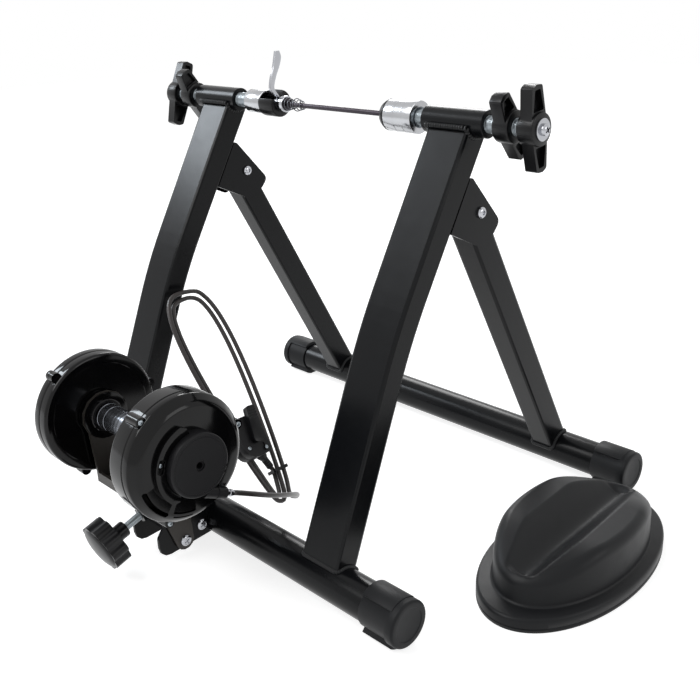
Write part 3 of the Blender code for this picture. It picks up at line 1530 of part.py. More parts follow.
def hank_route():
    """Loops that spiral inwards, each a little behind the one before, and end at the shifter."""
    steps = HANK_LOOPS * HANK_POINTS
    span = HANK_LAST_TURN - HANK_FIRST_TURN
    points = [hank_point(HANK_FIRST_TURN + span * step / steps) for step in range(steps + 1)]
    mouth, way, root = boot_mouth()
    straight = 3 * CABLE_RADIUS
    points.append(points[-1].lerp(mouth, 0.45) - way * straight * 0.6)
    points.append(mouth - way * straight)
    points.append(mouth - way * FIT)
    return points


def strands():
    """Points close together along the hank, counted from its origin."""
    route = [point - HANK_ORIGIN for point in hank_route()]
    return [first.lerp(second, step / 8) for first, second in zip(route, route[1:]) for step in range(8)]


def smooth(points, spacing):
    """Points at an even spacing along a smooth curve through the given points."""
    knots = [Vector(point) for point in points]
    knots = [2 * knots[0] - knots[1], *knots, 2 * knots[-1] - knots[-2]]
    fine = []
    for before, first, second, after in zip(knots, knots[1:], knots[2:], knots[3:]):
        for step in range(16):
            t = step / 16
            place = 0.5 * (
                2 * first
                + (second - before) * t
                + (2 * before - 5 * first + 4 * second - after) * t * t
                + (3 * first - before - 3 * second + after) * t ** 3
            )
            fine.append(place)
    fine.append(knots[-2])
    length = sum((second - first).length for first, second in zip(fine, fine[1:]))
    count = round(length / spacing)
    even = [fine[0]]
    walked = 0.0
    for first, second in zip(fine, fine[1:]):
        walked += (second - first).length
        if walked >= len(even) * length / count and len(even) < count:
            even.append(second)
    even.append(fine[-1])
    return even


def cable():
    """The cable's lead from the drum, and its hank."""
    hank = hank_route()
    socket = at(SOCKET_X, Vector((SOCKET_Y, SOCKET_Z)) + SOCKET_WAY * (FERRULE_LENGTH + 2 * FIT))
    lead = [
        socket + at(0.0, SOCKET_WAY) * 3 * CABLE_RADIUS,
        Vector((0.0925, -0.0180, 0.0870)),
        Vector((0.0900, 0.0030, 0.0755)),
        Vector((0.0820, 0.0250, 0.0630)),
        Vector((0.0690, 0.0470, 0.0490)),
        Vector((0.0520, 0.0660, 0.0340)),
        Vector((0.0340, 0.0790, 0.0190)),
    ]
    start = hank[0]
    way = (hank[1] - hank[0]).normalized()
    lead.append(start - way * 3 * CABLE_RADIUS)
    route = [socket, *smooth(lead, 0.006), start - way * FIT]
    item = tube("shift_cable_lead", route, CABLE_RADIUS, 2)
    finish(item, STAND, "black_rubber")
    print("hank least gap to itself", round(1000 * least_gap(hank, CABLE_RADIUS, 4), 2), "mm")
    item = tube("shift_cable_hank", hank, CABLE_RADIUS, 1)
    finish(item, STAND, "black_rubber")


def shifter():
    """The handlebar shifter that rests on the hank, its lever, and the boot that the cable enters."""
    centre = HANK_ORIGIN + HANK_UP * SHIFTER_ALONG
    centre.y = SHIFTER_Y
    half = SHIFTER_WIDTH / 2
    tall = SHIFTER_HEIGHT / 2
    outline = rounded(
        [
            (-half, -tall, 0.012),
            (half, -tall, 0.007),
            (half, tall, 0.010),
            (-half, tall, 0.005),
        ],
        4,
    )
    place = centre - HANK_ORIGIN
    under = [
        point.dot(HANK_OUT)
        for point in strands()
        if abs(point.y - place.y) < half + CABLE_RADIUS and abs(point.dot(HANK_UP) - SHIFTER_ALONG) < tall
    ]
    low = max(under) + CABLE_RADIUS + FIT
    high = low + SHIFTER_THICKNESS
    item = plate("shifter_housing", outline, low, high, HANK_FRAME, centre)
    soften(item, 0.002, 2, 50.0)
    mouth, way, root = boot_mouth()
    reach = (root - mouth).length
    profile = [
        (0.0, 0.0),
        (0.0, BOOT_MOUTH_RADIUS),
        (0.3 * reach, BOOT_MOUTH_RADIUS),
        (0.75 * reach, BOOT_ROOT_RADIUS),
        (reach, BOOT_ROOT_RADIUS),
        (reach, 0.0),
    ]
    boot = turned("shifter_boot", profile, mouth, way, SMALL)
    finish(join(item, boot), STAND, "black_plastic")

    lever_low = high + FIT
    lever_high = lever_low + SHIFTER_LEVER_THICKNESS
    grip = rounded(
        [
            (-0.35 * half, -0.4 * tall, 0.004),
            (0.5 * half, -0.4 * tall, 0.005),
            (0.9 * half, 1.3 * tall, 0.003),
            (0.2 * half, 1.35 * tall, 0.003),
        ],
        3,
    )
    lever = plate("shift_lever", grip, lever_low, lever_high, HANK_FRAME, centre)
    soften(lever, 0.0012, 1, 50.0)
    pivot = body("shift_lever_body", centre, STAND)
    finish(lever, pivot, "black_plastic")


def cable_tie():
    """A band round the strands of the hank, near the shifter."""
    middle = TIE_ALONG + TIE_WIDTH / 2
    near = [point for point in strands() if point.y > 0.0 and abs(point.dot(HANK_UP) - middle) < TIE_WIDTH]
    clear = CABLE_RADIUS + 3 * FIT
    low = HANK_Y + min(point.y for point in near) - clear
    high = HANK_Y + max(point.y for point in near) + clear
    bottom = min(point.dot(HANK_OUT) for point in near) - clear
    top = max(point.dot(HANK_OUT) for point in near) + clear
    wall = TIE_WALL
    inner = rounded([(low, bottom, wall), (high, bottom, wall), (high, top, wall), (low, top, wall)])
    low -= wall
    high += wall
    bottom -= wall
    top += wall
    round_off = 2 * wall
    outer = rounded([(low, bottom, round_off), (high, bottom, round_off), (high, top, round_off), (low, top, round_off)])
    facing = Matrix((-AXIS_Y, HANK_OUT, HANK_UP)).transposed()
    outer = [(-across, out) for across, out in outer]
    inner = [(-across, out) for across, out in inner]
    place = HANK_ORIGIN.copy()
    place.y = 0.0
    item = plate("cable_tie", outer, TIE_ALONG, TIE_ALONG + TIE_WIDTH, facing, place, holes=(inner,))
    finish(item, STAND, "black_plastic")


def oval(half_width, half_length, count=LARGE):
    """An ellipse of points, from its half width and half length."""
    points = []
    for step in range(count):
        angle = 2 * math.pi * step / count
        points.append((half_width * math.cos(angle), half_length * math.sin(angle)))
    return points


def riser_block():
    """A low block for the front wheel: an oval flange, a crested body and a long wheel groove."""
    turn = Matrix.Rotation(math.radians(RISER_TURN), 3, "Z")
    side = turn @ FACING_X
    along = turn @ Matrix(((1, 0, 0), (0, 0, -1), (0, 1, 0)))
    place = Vector((RISER_X, RISER_Y, 0.0))
    flange = plate("riser_flange", oval(RISER_HALF_WIDTH, RISER_HALF_LENGTH), 0.0, RISER_FLANGE, turn, place)
    soften(flange, 0.002, 1, 60.0)
    width = RISER_HALF_WIDTH - RISER_INSET
    length = RISER_HALF_LENGTH - RISER_INSET
    item = plate("front_wheel_riser_block", oval(width, length), RISER_FLANGE / 2, 2 * RISER_HEIGHT, turn, place)
    crest = [(-2 * length, -RISER_HEIGHT), (-2 * length, RISER_END_HEIGHT)]
    for step in range(17):
        share = step / 8 - 1.0
        fall = min(max((abs(share) - RISER_PLATEAU) / (0.97 - RISER_PLATEAU), 0.0), 1.0)
        drop = fall * fall * (3 - 2 * fall)
        crest.append((share * length, RISER_HEIGHT - (RISER_HEIGHT - RISER_END_HEIGHT) * drop))
    crest += [(2 * length, RISER_END_HEIGHT), (2 * length, -RISER_HEIGHT)]
    top = plate("riser_crest", crest, -2 * width, 2 * width, side, place)
    boolean(item, "INTERSECT", [top])
    groove = [(-RISER_GROOVE_WIDTH / 2, 2 * RISER_HEIGHT)]
    floor = RISER_HEIGHT - RISER_GROOVE_DEPTH
    for step in range(9):
        share = step / 4 - 1.0
        groove.append((share * RISER_GROOVE_WIDTH / 2, floor + RISER_GROOVE_DEPTH * abs(share) ** 1.6))
    groove.append((RISER_GROOVE_WIDTH / 2, 2 * RISER_HEIGHT))
    trough = plate("riser_groove", groove, -0.93 * length, 0.93 * length, along, place)
    half = RISER_CHANNEL_WIDTH / 2
    channel_outline = [(-half, floor - half / 2), (half, floor - half / 2), (half, RISER_HEIGHT), (-half, RISER_HEIGHT)]
    channel = plate("riser_channel", channel_outline, -0.9 * length, 0.9 * length, along, place)
    cut(item, trough, channel)
    finish(join(item, flange), RISER, "black_plastic")


def centre_on_footprint():
    """Move the stand so that the origin is the bottom centre of its box, without the cable."""
    bpy.context.view_layer.update()
    graph = bpy.context.evaluated_depsgraph_get()
    low = Vector((1.0, 1.0, 1.0))
    high = -low
    for item in PARTS.objects:
        if item.type != "MESH" or item.name.startswith("shift_cable"):
            continue
        shown = item.evaluated_get(graph)
        for vertex in shown.to_mesh().vertices:
            place = item.matrix_world @ vertex.co
            low = Vector(map(min, low, place))
            high = Vector(map(max, high, place))
        shown.to_mesh_clear()
    STAND.location = (-(low.x + high.x) / 2, -(low.y + high.y) / 2, -low.z)
    print("stand moved by", tuple(round(value, 6) for value in STAND.location))
    print("stand size", tuple(round(value, 5) for value in high - low))


def build():
    base_tube("front_base_tube", FRONT_AXIS, FRONT_HALF_LENGTH, STAND)
    base_tube("rear_base_tube", REAR_AXIS, REAR_HALF_LENGTH, REAR_FRAME)
    for hand in SIDES:
        foot(hand, "front", FRONT_AXIS, FRONT_HALF_LENGTH)
        foot(hand, "rear", REAR_AXIS, REAR_HALF_LENGTH)
        upright(hand)
        clamp_tube(hand)
        hinge_bracket(hand)
        hinge_bolt(hand)
        rear_leg(hand)
    cup("right", RIGHT_CUP_X, RIGHT_CUP_LENGTH, RIGHT_CUP_RADIUS, RIGHT_SOCKET_DEPTH)
    cup("left", LEFT_CUP_X, LEFT_CUP_LENGTH, LEFT_CUP_RADIUS, LEFT_CUP_LENGTH / 3)
    right_cup_rim()
    left_cup_collar()
    spindle("right", RIGHT_CUP_X + RIGHT_CUP_LENGTH, RIGHT_DRIVE_X)
    spindle("left", LEFT_CUP_X + LEFT_CUP_LENGTH, LEFT_DRIVE_X)
    span = DRIVE_HANDLE_SPAN
    handle("right_drive_handle", "right", RIGHT_DRIVE_X, span, RIGHT_DRIVE_TILT, SPINDLE["right"], True)
    handle("left_drive_handle", "left", LEFT_DRIVE_X, span, LEFT_DRIVE_TILT, SPINDLE["left"], True)
    span = LOCK_HANDLE_SPAN
    handle("right_lock_handle", "right", RIGHT_LOCK_X, span, RIGHT_LOCK_TILT, LOCK["right"], False)
    handle("left_lock_handle", "left", LEFT_LOCK_X, span, LEFT_LOCK_TILT, LOCK["left"], False)
    drive_screw("right", RIGHT_DRIVE_X)
    drive_screw("left", LEFT_DRIVE_X)
    skewer()
    mount_bracket()
    cross_bolt("pivot_bolt", PIVOT_Y, PIVOT_Z, PLATE_LEFT - FIT - CHEEK_SHEET, PLATE_RIGHT + FIT + CHEEK_SHEET)
    cross_bolt("fixing_bolt", FIXING_Y, FIXING_Z, PLATE_LEFT, PLATE_RIGHT)
    tension_screw()
    yoke()
    bearing_housing("left")
    bearing_housing("right")
    cover_back("flywheel_cover_inner", LEFT_COVER_X, -1.0, LEFT_INNER_DEPTH)
    flywheel_cover_outer()
    cover_back("drum_housing_back", RIGHT_COVER_X, 1.0, RIGHT_BACK_DEPTH)
    drum_housing_front()
    drum_cover()
    roller_group()
    magnet_carrier()
    cable()
    shifter()
    cable_tie()
    riser_block()
    centre_on_footprint()


build()
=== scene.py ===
"""Looks of a folding wheel-on bike trainer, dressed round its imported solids.

Every class here is one sub-assembly. Its fields are sizes in metres, measured from the middle of the
front base tube over the floor, and its methods build meshes that ride on the bodies of the frame.
"""

import logging
import math
from collections.abc import Iterable, Sequence
from dataclasses import dataclass, field
from enum import Enum

import bmesh
import bpy
from mathutils import Matrix, Vector


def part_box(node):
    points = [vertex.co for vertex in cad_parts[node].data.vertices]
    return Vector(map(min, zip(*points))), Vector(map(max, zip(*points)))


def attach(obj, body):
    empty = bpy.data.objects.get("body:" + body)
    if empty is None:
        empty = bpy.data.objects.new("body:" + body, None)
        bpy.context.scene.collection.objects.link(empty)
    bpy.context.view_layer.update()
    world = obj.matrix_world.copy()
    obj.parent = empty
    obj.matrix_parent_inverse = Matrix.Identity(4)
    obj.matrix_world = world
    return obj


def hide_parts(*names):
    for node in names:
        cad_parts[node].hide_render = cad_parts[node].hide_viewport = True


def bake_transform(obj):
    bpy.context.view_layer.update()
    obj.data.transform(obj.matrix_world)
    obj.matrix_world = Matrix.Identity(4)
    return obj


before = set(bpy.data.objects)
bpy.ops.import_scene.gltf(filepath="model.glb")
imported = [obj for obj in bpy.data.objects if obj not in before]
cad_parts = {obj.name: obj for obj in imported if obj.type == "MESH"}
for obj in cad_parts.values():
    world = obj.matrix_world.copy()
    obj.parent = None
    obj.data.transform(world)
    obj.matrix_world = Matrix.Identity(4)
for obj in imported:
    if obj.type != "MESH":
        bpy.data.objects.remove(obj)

LOG = logging.getLogger("trainer")

# Sizes that several sub-assemblies share, in metres.
CLEAR = 0.0003
BASE_AXIS_HEIGHT = 0.0236
BASE_RADIUS = 0.018
FRONT_HALF = 0.2586
REAR_HALF = 0.2634
REAR_Y = 0.345
CLAMP_Y = 0.176
CLAMP_Z = 0.3994
SPINDLE_RADIUS = 0.0076
SHIFTER_Y = 0.0592
SHIFTER_WIDTH = 0.030
SHIFTER_HEIGHT = 0.044

AXIS_X = Vector((1.0, 0.0, 0.0))
AXIS_Y = Vector((0.0, 1.0, 0.0))
FACING_X = Matrix(((0, 0, 1), (1, 0, 0), (0, 1, 0)))
WHITE = (1.0, 1.0, 1.0, 1.0)

# The mouth of the drum's cable barrel, and the way in which the cable leaves it.
BARREL_FALL = math.radians(24.6)
BARREL_WAY = Vector((0.0, math.cos(BARREL_FALL), -math.sin(BARREL_FALL)))
BARREL_END = Vector((0.0920, -0.0494, 0.1020))

Pair = tuple[float, float]
Outline = list[Pair]


def corner_of_design() -> Vector:
    """Find the design's origin in the frame.

    Returns:
        Where the middle of the front base tube, over the floor, lies.
    """
    low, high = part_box("front_base_tube")
    middle = (low + high) / 2
    return Vector((middle.x, middle.y, middle.z - BASE_AXIS_HEIGHT))


ORIGIN = corner_of_design()


def vector_field(x: float, y: float, z: float) -> Vector:
    """Return a dataclass field whose default is a vector."""
    return field(default_factory=lambda: Vector((x, y, z)))


def linear(code: str) -> tuple[float, float, float, float]:
    """Turn an sRGB hex colour into linear values.

    Args:
        code: Six hex digits after a hash sign.

    Returns:
        Red, green, blue and a full alpha.
    """
    values = [int(code[place : place + 2], 16) / 255 for place in (1, 3, 5)]
    red, green, blue = (v / 12.92 if v <= 0.04045 else ((v + 0.055) / 1.055) ** 2.4 for v in values)
    return red, green, blue, 1.0


def add_object(name: str, data: bpy.types.ID) -> bpy.types.Object:
    """Add an object to the scene.

    Args:
        name: The object's name.
        data: Its mesh, curve, camera or lamp.

    Returns:
        The new object, at the origin.
    """
    item = bpy.data.objects.new(name, data)
    bpy.context.scene.collection.objects.link(item)
    return item


def plain_mesh(item: bpy.types.Object) -> bpy.types.Mesh:
    """Apply an object's modifiers, or turn its curve into faces.

    Args:
        item: The object, which stays as it is.

    Returns:
        A new mesh.
    """
    bpy.context.view_layer.update()
    graph = bpy.context.evaluated_depsgraph_get()
    return bpy.data.meshes.new_from_object(item.evaluated_get(graph))


def empty_tree(owner: bpy.types.Material | bpy.types.World) -> bpy.types.NodeTree:
    """Switch on the nodes of a material or a world.

    Args:
        owner: The material or the world.

    Returns:
        Its node tree, emptied.
    """
    owner.use_nodes = True
    owner.node_tree.nodes.clear()
    return owner.node_tree


def add_node(
    tree: bpy.types.NodeTree, kind: str, values: dict | None = None, links: dict | None = None
) -> bpy.types.Node:
    """Add one node with its settings and its links.

    Args:
        tree: The shader or geometry tree that gets the node.
        kind: Blender's name for the kind of node.
        values: Input values and settings by name, or input values by place.
        links: Sockets that feed the node's inputs, by input name or place.

    Returns:
        The new node.
    """
    node = tree.nodes.new(kind)
    for key, value in (values or {}).items():
        if isinstance(key, int) or key in node.inputs:
            node.inputs[key].default_value = value
        else:
            setattr(node, key, value)
    for key, source in (links or {}).items():
        tree.links.new(source, node.inputs[key])
    return node


class Surface(Enum):
    """How a surface was made, which decides its fine relief."""

    SPRAYED = "sprayed"
    MOULDED = "moulded"
    SPARKED = "sparked"
    TURNED = "turned"
    PLATED = "plated"


@dataclass(frozen=True)
class Finish:
    """One real material with its colour, gloss and relief."""

    name: str
    slot: str
    colour: str
    roughness: float
    surface: Surface
    grain_mm: float
    relief: float
    gloss: float = 0.5
    metallic: float = 0.0
    # A darker second colour for the metals, mixed in by patches: painted reflection.
    painted_reflection: str = ""

    def material(self) -> bpy.types.Material:
        """Build the finish's material, once for the whole scene.

        Returns:
            The material.
        """
        made = bpy.data.materials.get(self.name)
        if made is not None:
            return made
        made = bpy.data.materials.new(self.name)
        tree = empty_tree(made)
        place = add_node(tree, "ShaderNodeTexCoord").outputs["Object"]
        values = {"Metallic": self.metallic, "Specular IOR Level": self.gloss}
        shader = add_node(tree, "ShaderNodeBsdfPrincipled", values)
        self.paint(tree, shader, place)
        self.emboss(tree, shader, place)
        add_node(tree, "ShaderNodeOutputMaterial", links={"Surface": shader.outputs["BSDF"]})
        return made

    def paint(self, tree: bpy.types.NodeTree, shader: bpy.types.Node, place: bpy.types.NodeSocket) -> None:
        """Vary the colour and the gloss a little over the surface; on the metals the darker second colour is
        painted reflection.

        Args:
            tree: The material's node tree.
            shader: The shader that gets colour and roughness.
            place: Object coordinates.
        """
        # Patches of colour are about 45 mm across, patches of gloss about 13 mm. On the metals these colour
        # patches are painted darker reflection; elsewhere they are a lighter random tone.
        tone_and_reflection_patches = add_node(tree, "ShaderNodeTexNoise", {"Scale": 22.0, "Detail": 4.0}, {"Vector": place})
        smear = add_node(tree, "ShaderNodeTexNoise", {"Scale": 75.0, "Detail": 3.0}, {"Vector": place})
        plain = linear(self.colour)
        # On the metals the other colour is painted darker reflection; else it is a lighter random tone.
        other = linear(self.painted_reflection) if self.painted_reflection else (*(min(1.0, v * 1.18) for v in plain[:3]), 1.0)
        ends = {"data_type": "RGBA", 6: plain, 7: other}
        tint_and_reflection = add_node(tree, "ShaderNodeMix", ends, {"Factor": tone_and_reflection_patches.outputs["Fac"]})
        tree.links.new(tint_and_reflection.outputs[2], shader.inputs["Base Color"])
        limits = {"To Min": self.roughness * 0.86, "To Max": min(1.0, self.roughness * 1.16)}
        level = add_node(tree, "ShaderNodeMapRange", limits, {"Value": smear.outputs["Fac"]})
        tree.links.new(level.outputs["Result"], shader.inputs["Roughness"])

    def emboss(self, tree: bpy.types.NodeTree, shader: bpy.types.Node, place: bpy.types.NodeSocket) -> None:
        """Give the surface the relief of the way it was made.

        Args:
            tree: The material's node tree.
            shader: The shader that gets the normal.
            place: Object coordinates.
        """
        scale = 1000.0 / self.grain_mm
        rings = {"bands_direction": "X", "Scale": scale / 20.0, "Distortion": 0.6, "Detail": 2.0}
        patterns = {
            Surface.TURNED: ("Wave", rings, "Fac"),
            Surface.SPARKED: ("Voronoi", {"feature": "SMOOTH_F1", "Scale": scale}, "Distance"),
            Surface.SPRAYED: ("Noise", {"Scale": scale / 4.0, "Detail": 1.0}, "Fac"),
        }
        plain = ("Noise", {"Scale": scale / 4.0, "Detail": 3.0}, "Fac")
        kind, values, output = patterns.get(self.surface, plain)
        height = add_node(tree, "ShaderNodeTex" + kind, values, {"Vector": place}).outputs[output]
        depth = {"Strength": self.relief, "Distance": self.grain_mm / 4000.0}
        relief = add_node(tree, "ShaderNodeBump", depth, {"Height": height})
        tree.links.new(relief.outputs["Normal"], shader.inputs["Normal"])


# Epoxy powder coat on steel tube, sprayed and baked: deep black with a soft, slightly wavy gloss.
POWDER_COAT = Finish("powder_coat", "black_paint", "#0d0e10", 0.24, Surface.SPRAYED, 2.0, 0.06, 0.15)
# Weld bead under the same powder coat: the ripples stay, the gloss is a little duller.
COATED_WELD = Finish("coated_weld", "black_paint", "#101113", 0.34, Surface.SPRAYED, 1.5, 0.2, 0.35)
# ABS from a polished mould: near-black and almost mirror smooth.
GLOSS_ABS = Finish("gloss_abs", "gloss_plastic", "#070708", 0.11, Surface.MOULDED, 9.0, 0.03, 0.24)
# ABS from a spark-eroded mould: an even, fine grain that spreads the light.
GRAINED_ABS = Finish("grained_abs", "black_plastic", "#111113", 0.46, Surface.SPARKED, 0.7, 0.16, 0.20)
# Glass-filled nylon of the handles and the knob: harder and glossier than the drum.
NYLON = Finish("moulded_nylon", "black_plastic", "#0c0c0e", 0.30, Surface.MOULDED, 1.2, 0.08, 0.24)
# Soft PVC of the foot caps: dull and a little grey.
CAP_PVC = Finish("cap_pvc", "black_plastic", "#17181a", 0.48, Surface.MOULDED, 1.0, 0.14, 0.18)
# Blow-moulded polyethylene of the riser block: satin with a faint orange peel.
BLOCK_PE = Finish("block_polyethylene", "black_plastic", "#131416", 0.42, Surface.SPARKED, 0.9, 0.10, 0.20)
# PVC cable jacket, extruded: smooth, dark and slightly brown.
JACKET = Finish("cable_jacket", "black_rubber", "#2c2726", 0.30, Surface.MOULDED, 0.8, 0.05, 0.45)
# Olive chromate paint on pressed steel sheet.
OLIVE_PAINT = Finish("olive_paint", "olive_paint", "#191814", 0.38, Surface.SPRAYED, 2.5, 0.08, 0.22)
# Bright zinc plate on threaded steel: cool grey with a soft shine. Its second, darker grey is painted
# reflection.
ZINC = Finish("zinc_plate", "zinc", "#a6adb1", 0.30, Surface.PLATED, 1.4, 0.10, 0.5, 1.0, "#868e94")
# Turned steel of the roller; real tool marks of 0.2 mm are drawn at 0.8 mm so that they show. Its second,
# darker grey is painted reflection.
TURNED_STEEL = Finish(
    "turned_steel", "steel", "#8e9196", 0.24, Surface.TURNED, 0.8, 0.18, 0.5, 1.0, "#777b82"
)
# Polished aluminium of the cups, with faint turning rings. Its second, darker grey is painted reflection.
ALUMINIUM = Finish(
    "polished_aluminium", "aluminium", "#bcbdbf", 0.20, Surface.TURNED, 1.0, 0.10, 0.5, 1.0, "#9fa0a4"
)
# Chrome plate on the lever, screws and washers. Its second, darker grey is painted reflection.
CHROME = Finish("chrome_plate", "chrome", "#babbbf", 0.09, Surface.PLATED, 6.0, 0.03, 0.5, 1.0, "#a4a6ab")
# Black-oxide steel of the skewer's rod, slightly violet.
BLACK_OXIDE = Finish("black_oxide_steel", "dark_steel", "#39343a", 0.34, Surface.PLATED, 1.2, 0.08, 0.5, 0.7)
# Spring wire, oiled and dark. Its second, darker grey is painted reflection.
SPRING_STEEL = Finish(
    "spring_steel", "dark_steel", "#6a6c71", 0.28, Surface.PLATED, 1.0, 0.04, 0.5, 1.0, "#4d4f54"
)
# Sand-cast iron with a turned rim, for the flywheel inside its cover. Its second, darker grey is painted
# reflection.
CAST_IRON = Finish("cast_iron", "cast_steel", "#55565a", 0.48, Surface.SPARKED, 1.5, 0.3, 0.5, 0.9, "#3f4044")


def turn_to(direction: Vector) -> Matrix:
    """Return the rotation that lays local Z along a direction."""
    return Vector((0.0, 0.0, 1.0)).rotation_difference(direction).to_matrix()


def full_turn(steps: int) -> list[float]:
    """Return evenly spaced angles round a full turn, in radians."""
    return [2 * math.pi * step / steps for step in range(steps)]


def on_circle(centre: Sequence[float], radius: float, angle: float) -> Pair:
    """Return the point on a circle at an angle in degrees."""
    turn = math.radians(angle)
    return centre[0] + radius * math.cos(turn), centre[1] + radius * math.sin(turn)


def arc(centre: Sequence[float], radius: float, first: float, last: float, steps: int) -> Outline:
    """Return points on an arc.

    Args:
        centre: The arc's centre in its plane.
        radius: The arc's radius.
        first: The first angle in degrees.
        last: The last angle in degrees.
        steps: How many chords the arc has.

    Returns:
        The points, both ends included.
    """
    angles = [first + (last - first) * step / steps for step in range(steps + 1)]
    return [on_circle(centre, radius, angle) for angle in angles]


def rectangle(across: float, along: float) -> Outline:
    """Return a rectangle round zero from its half sizes."""
    return [(-across, -along), (across, -along), (across, along), (-across, along)]


def eased(end: float, radius: float, size: float) -> Outline:
    """Ease the sharp rim of a turned piece with two small chamfers.

    Args:
        end: Where the end face lies along the profile.
        radius: The radius that the chamfers lead to.
        size: How wide they are together, or less than zero at the profile's far end.

    Returns:
        Three points of the profile, in the profile's order.
    """
    deep = abs(size)
    points = [(end, radius - deep), (end + 0.3 * size, radius - 0.3 * deep), (end + size, radius)]
    return points if size > 0.0 else points[::-1]


def quarter_round(radius: float, edge: float, end: float | None = None) -> Outline:
    """Round the rim of a moulded cover.

    Args:
        radius: The cover's outer radius.
        edge: The rounding's radius.
        end: Where the far face lies along the profile, or none for the near face at zero.

    Returns:
        Points of the profile, in the profile's order.
    """
    angles = (0.0, 0.4, 0.8, 1.2, 1.5708)
    if end is None:
        return [(edge - edge * math.cos(a), radius - edge + edge * math.sin(a)) for a in angles]
    return [(end - edge + edge * math.sin(a), radius - edge + edge * math.cos(a)) for a in angles]


def rounded(corners: Sequence[tuple[float, float, float]], steps: int = 6) -> Outline:
    """Round the corners of a closed outline.

    Args:
        corners: Each corner as first coordinate, second coordinate and radius.
        steps: How many chords each corner gets.

    Returns:
        The rounded outline.
    """
    points = []
    for index, (first, second, radius) in enumerate(corners):
        here = Vector((first, second))
        if radius == 0.0:
            points.append((first, second))
            continue
        before = (Vector(corners[index - 1][:2]) - here).normalized()
        after = (Vector(corners[(index + 1) % len(corners)][:2]) - here).normalized()
        half = before.angle(after) / 2
        centre = here + (before + after).normalized() * radius / math.sin(half)
        start = here + before * radius / math.tan(half) - centre
        sweep = start.angle_signed(here + after * radius / math.tan(half) - centre)
        for step in range(steps + 1):
            spoke = start.copy()
            spoke.rotate(Matrix.Rotation(-sweep * step / steps, 2))
            points.append(tuple(centre + spoke))
    return points


def squared_off(value: float, power: float) -> float:
    """Raise a sine or cosine to a power and keep its sign, which squares a circle off."""
    return math.copysign(abs(value) ** power, value)


def soft_step(value: float) -> float:
    """Return a smooth step from zero to one over values from zero to one."""
    share = min(max(value, 0.0), 1.0)
    return share * share * (3 - 2 * share)


def smooth_curve(points: Sequence[Vector], spacing: float) -> list[Vector]:
    """Return points at an even spacing on a smooth curve.

    Args:
        points: The points that the curve runs through.
        spacing: The wanted distance between the new points.

    Returns:
        The evenly spaced points, both ends included.
    """
    fine_steps = 16
    knots = [2 * points[0] - points[1], *points, 2 * points[-1] - points[-2]]
    fine = []
    for before, first, second, after in zip(knots, knots[1:], knots[2:], knots[3:]):
        for step in range(fine_steps):
            t = step / fine_steps
            bend = (2 * before - 5 * first + 4 * second - after) * t * t
            twist = (3 * first - before - 3 * second + after) * t**3
            fine.append(0.5 * (2 * first + (second - before) * t + bend + twist))
    fine.append(knots[-2])
    length = sum((second - first).length for first, second in zip(fine, fine[1:]))
    count = round(length / spacing)
    even = [fine[0]]
    walked = 0.0
    for first, second in zip(fine, fine[1:]):
        walked += (second - first).length
        if walked >= len(even) * length / count and len(even) < count:
            even.append(second)
    even.append(fine[-1])
    return even


def skin(
    shape: bmesh.types.BMesh,
    rings: Sequence[Sequence[bmesh.types.BMVert]],
    closed: bool = False,
    capped: bool = False,
) -> None:
    """Lay faces between rings of equal count.

    Args:
        shape: The mesh that the rings belong to.
        rings: The rings in order.
        closed: Whether the last ring joins the first.
        capped: Whether the first and the last ring get a face of their own.
    """
    pairs = list(zip(rings, rings[1:]))
    if closed:
        pairs.append((rings[-1], rings[0]))
    for first, second in pairs:
        for step in range(len(first)):
            after = (step + 1) % len(first)
            shape.faces.new((first[step], first[after], second[after], second[step]))
    if capped:
        shape.faces.new(rings[0][::-1])
        shape.faces.new(rings[-1])


